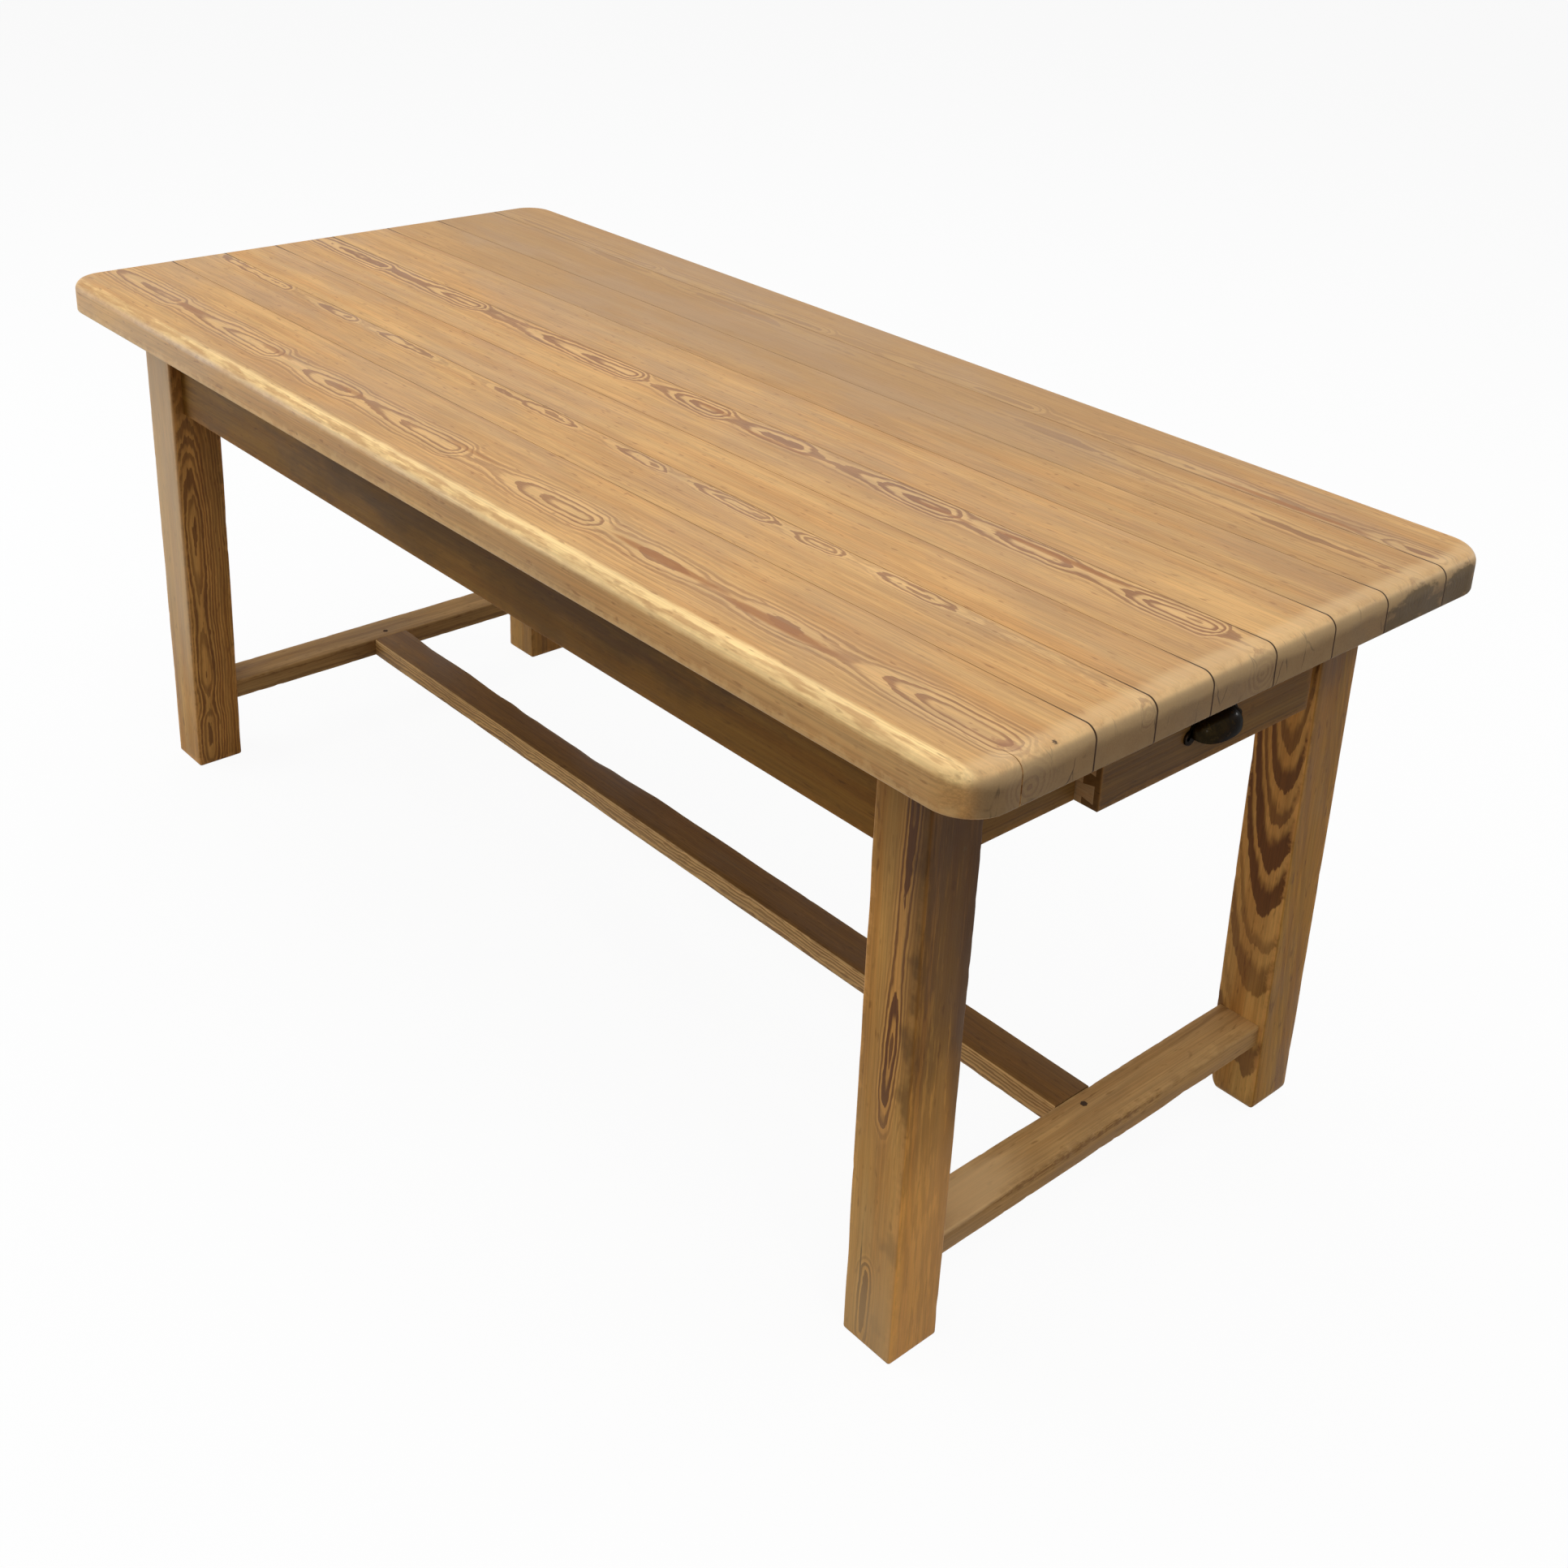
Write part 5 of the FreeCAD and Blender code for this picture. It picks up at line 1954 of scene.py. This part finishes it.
@dataclass(frozen=True)
class Panel:
    """A square panel of light.

    Attributes:
        name: Its name.
        place: Where it hangs, in metres.
        target: The place that it faces.
        width: Its width in metres.
        power: Its power in watts.
        colour: The colour of its light.
    """

    name: str
    place: Triple
    target: Triple
    width: float
    power: float
    colour: Colour = (1.0, 1.0, 1.0)

    def hang(self) -> None:
        """Adds the panel to the scene."""
        data = bpy.data.lights.new(self.name, "AREA")
        data.energy, data.size, data.color = self.power, self.width, self.colour
        lamp = bpy.data.objects.new(self.name, data)
        lamp.location = self.place
        facing = Vector(self.place) - Vector(self.target)
        lamp.rotation_euler = facing.to_track_quat("Z", "Y").to_euler()
        bpy.context.scene.collection.objects.link(lamp)


@dataclass
class Studio:
    """The white floor, the soft light and the camera.

    Attributes:
        position: Where the camera stands, in metres.
        yaw, pitch, roll: Its turn from the Y axis, its tilt up and its roll, in degrees.
        focal, centre: Its focal length and the pixel that it points at, in pixels of the picture.
        picture, sensor: The width of the picture in pixels, and of the sensor in millimetres.
        far: How far it sees, in metres.
        floor_size: The width of the floor in metres.
        bounce, lit: The floor's colour for the light that it throws back, and where it is seen.
        glow: How much of what is seen of the floor is plain white.
        ambient, ambient_power: The colour and strength of the light all round.
        backdrop: The colour behind the table.
        panels: The panels of light.
    """

    position: Triple = (1.861543, -1.496804, 1.599598)
    yaw: float = 46.854
    pitch: float = -22.427
    roll: float = 2.811
    focal: float = 2414.725
    centre: tuple[float, float] = (1002.053, 627.447)
    picture: float = 1932.0
    sensor: float = 36.0
    far: float = 200.0
    floor_size: float = 80.0
    bounce: Colour = (0.40, 0.35, 0.28)
    lit: Colour = (0.9, 0.9, 0.9)
    glow: float = 0.94
    ambient: Colour = (0.98, 0.99, 1.0)
    ambient_power: float = 0.06
    backdrop: Colour = (0.98, 0.98, 0.98)
    panels: tuple[Panel, ...] = (
        Panel("ceiling_panel", (0.2, -0.8, 4.4), (0.2, -0.8, 0.0), 9.5, 370.0),
        Panel("left_panel", (-2.9, -2.2, 0.9), (-0.8, -0.35, 0.4), 1.6, 44.0, (0.86, 0.94, 1.0)),
        Panel("right_glint", (3.6, -1.2, 2.2), (0.8, 0.0, 0.6), 0.2, 12.0),
        Panel("back_glint", (1.5, 3.4, 1.35), (0.84, 0.06, 0.64), 0.3, 14.0),
    )

    def build(self) -> None:
        """Sets up the whole studio."""
        bpy.context.scene.view_settings.view_transform = "Standard"
        self._camera()
        self._floor()
        self._world()
        for panel in self.panels:
            panel.hang()

    def _camera(self) -> None:
        """Places the camera at the photograph's viewpoint."""
        yaw, pitch, roll = (math.radians(angle) for angle in (self.yaw, self.pitch, self.roll))
        forward = Vector((-math.sin(yaw) * math.cos(pitch), math.cos(yaw) * math.cos(pitch), math.sin(pitch)))
        level = Vector((math.cos(yaw), math.sin(yaw), 0))
        above = level.cross(forward)
        right = level * math.cos(roll) + above * math.sin(roll)
        up = above * math.cos(roll) - level * math.sin(roll)
        data = bpy.data.cameras.new("viewpoint")
        data.sensor_width = self.sensor
        data.lens = self.focal / self.picture * self.sensor
        data.shift_x = (self.picture / 2 - self.centre[0]) / self.picture
        data.shift_y = (self.centre[1] - self.picture / 2) / self.picture
        data.clip_end = self.far
        camera = bpy.data.objects.new("viewpoint", data)
        turn = Matrix((right, up, -forward)).transposed().to_4x4()
        camera.matrix_world = Matrix.Translation(self.position) @ turn
        bpy.context.scene.collection.objects.link(camera)
        bpy.context.scene.camera = camera

    def _floor(self) -> None:
        """Lays the plain pale floor, white to the eye and soft in its shadow."""
        mesh = bmesh.new()
        bmesh.ops.create_grid(mesh, x_segments=1, y_segments=1, size=self.floor_size / 2)
        floor = as_object(mesh, "floor")
        material = bpy.data.materials.new("pale_floor")
        material.use_nodes = True
        material.node_tree.nodes.clear()
        graph = Graph(material.node_tree)
        bounce, lit = (graph.add("ShaderNodeBsdfDiffuse") for _ in range(2))
        graph.feed(bounce.inputs["Color"], self.bounce)
        graph.feed(lit.inputs["Color"], self.lit)
        white = graph.add("ShaderNodeEmission")
        seen = self._mixed(graph, self.glow, lit.outputs[0], white.outputs[0])
        shown = self._mixed(graph, self._seen_directly(graph), bounce.outputs[0], seen)
        graph.feed(graph.add("ShaderNodeOutputMaterial").inputs["Surface"], shown)
        wear(floor, material)

    def _world(self) -> None:
        """Makes the soft all-round light, white where it is seen."""
        world = bpy.data.worlds.new("studio")
        world.use_nodes = True
        world.node_tree.nodes.clear()
        graph = Graph(world.node_tree)
        ambient, white = (graph.add("ShaderNodeBackground") for _ in range(2))
        graph.feed(ambient.inputs["Color"], self.ambient)
        graph.feed(ambient.inputs["Strength"], self.ambient_power)
        graph.feed(white.inputs["Color"], self.backdrop)
        shown = self._mixed(graph, self._seen_directly(graph), ambient.outputs[0], white.outputs[0])
        graph.feed(graph.add("ShaderNodeOutputWorld").inputs["Surface"], shown)
        bpy.context.scene.world = world

    def _seen_directly(self, graph: Graph) -> Socket:
        """Tells rays that show the background from rays that only light the table.

        Args:
            graph: The graph of the floor or the world.

        Returns:
            1 for rays of the camera, of reflections and through glass, and 0 for others.
        """
        path = graph.add("ShaderNodeLightPath")
        shiny = graph.math("MAXIMUM", path.outputs["Is Glossy Ray"], path.outputs["Is Transmission Ray"])
        return graph.math("MAXIMUM", path.outputs["Is Camera Ray"], shiny)

    def _mixed(self, graph: Graph, share: Value, first: Socket, second: Socket) -> Socket:
        """Mixes two shaders.

        Args:
            graph: The graph that they are in.
            share: How much of the second is used.
            first: The first shader.
            second: The second shader.

        Returns:
            The mixed shader.
        """
        node = graph.add("ShaderNodeMixShader")
        for socket, value in zip(node.inputs, (share, first, second)):
            graph.feed(socket, value)
        return node.outputs[0]


def main() -> None:
    """Builds and dresses the table and its studio."""
    logging.basicConfig(level=logging.INFO, format="%(name)s: %(message)s")
    shared = SharedGroups()
    for timbers in (PlankTop(), Legs(), Stretchers(), Aprons(), TopFixings(), DrawerBox(), DrawerFace()):
        timbers.build()
        timbers.dress(shared)
    pull = CupPull()
    pull.dress(pull.build(), shared)
    Fastenings().dress(shared)
    Studio().build()


if __name__ == "__main__":
    main()
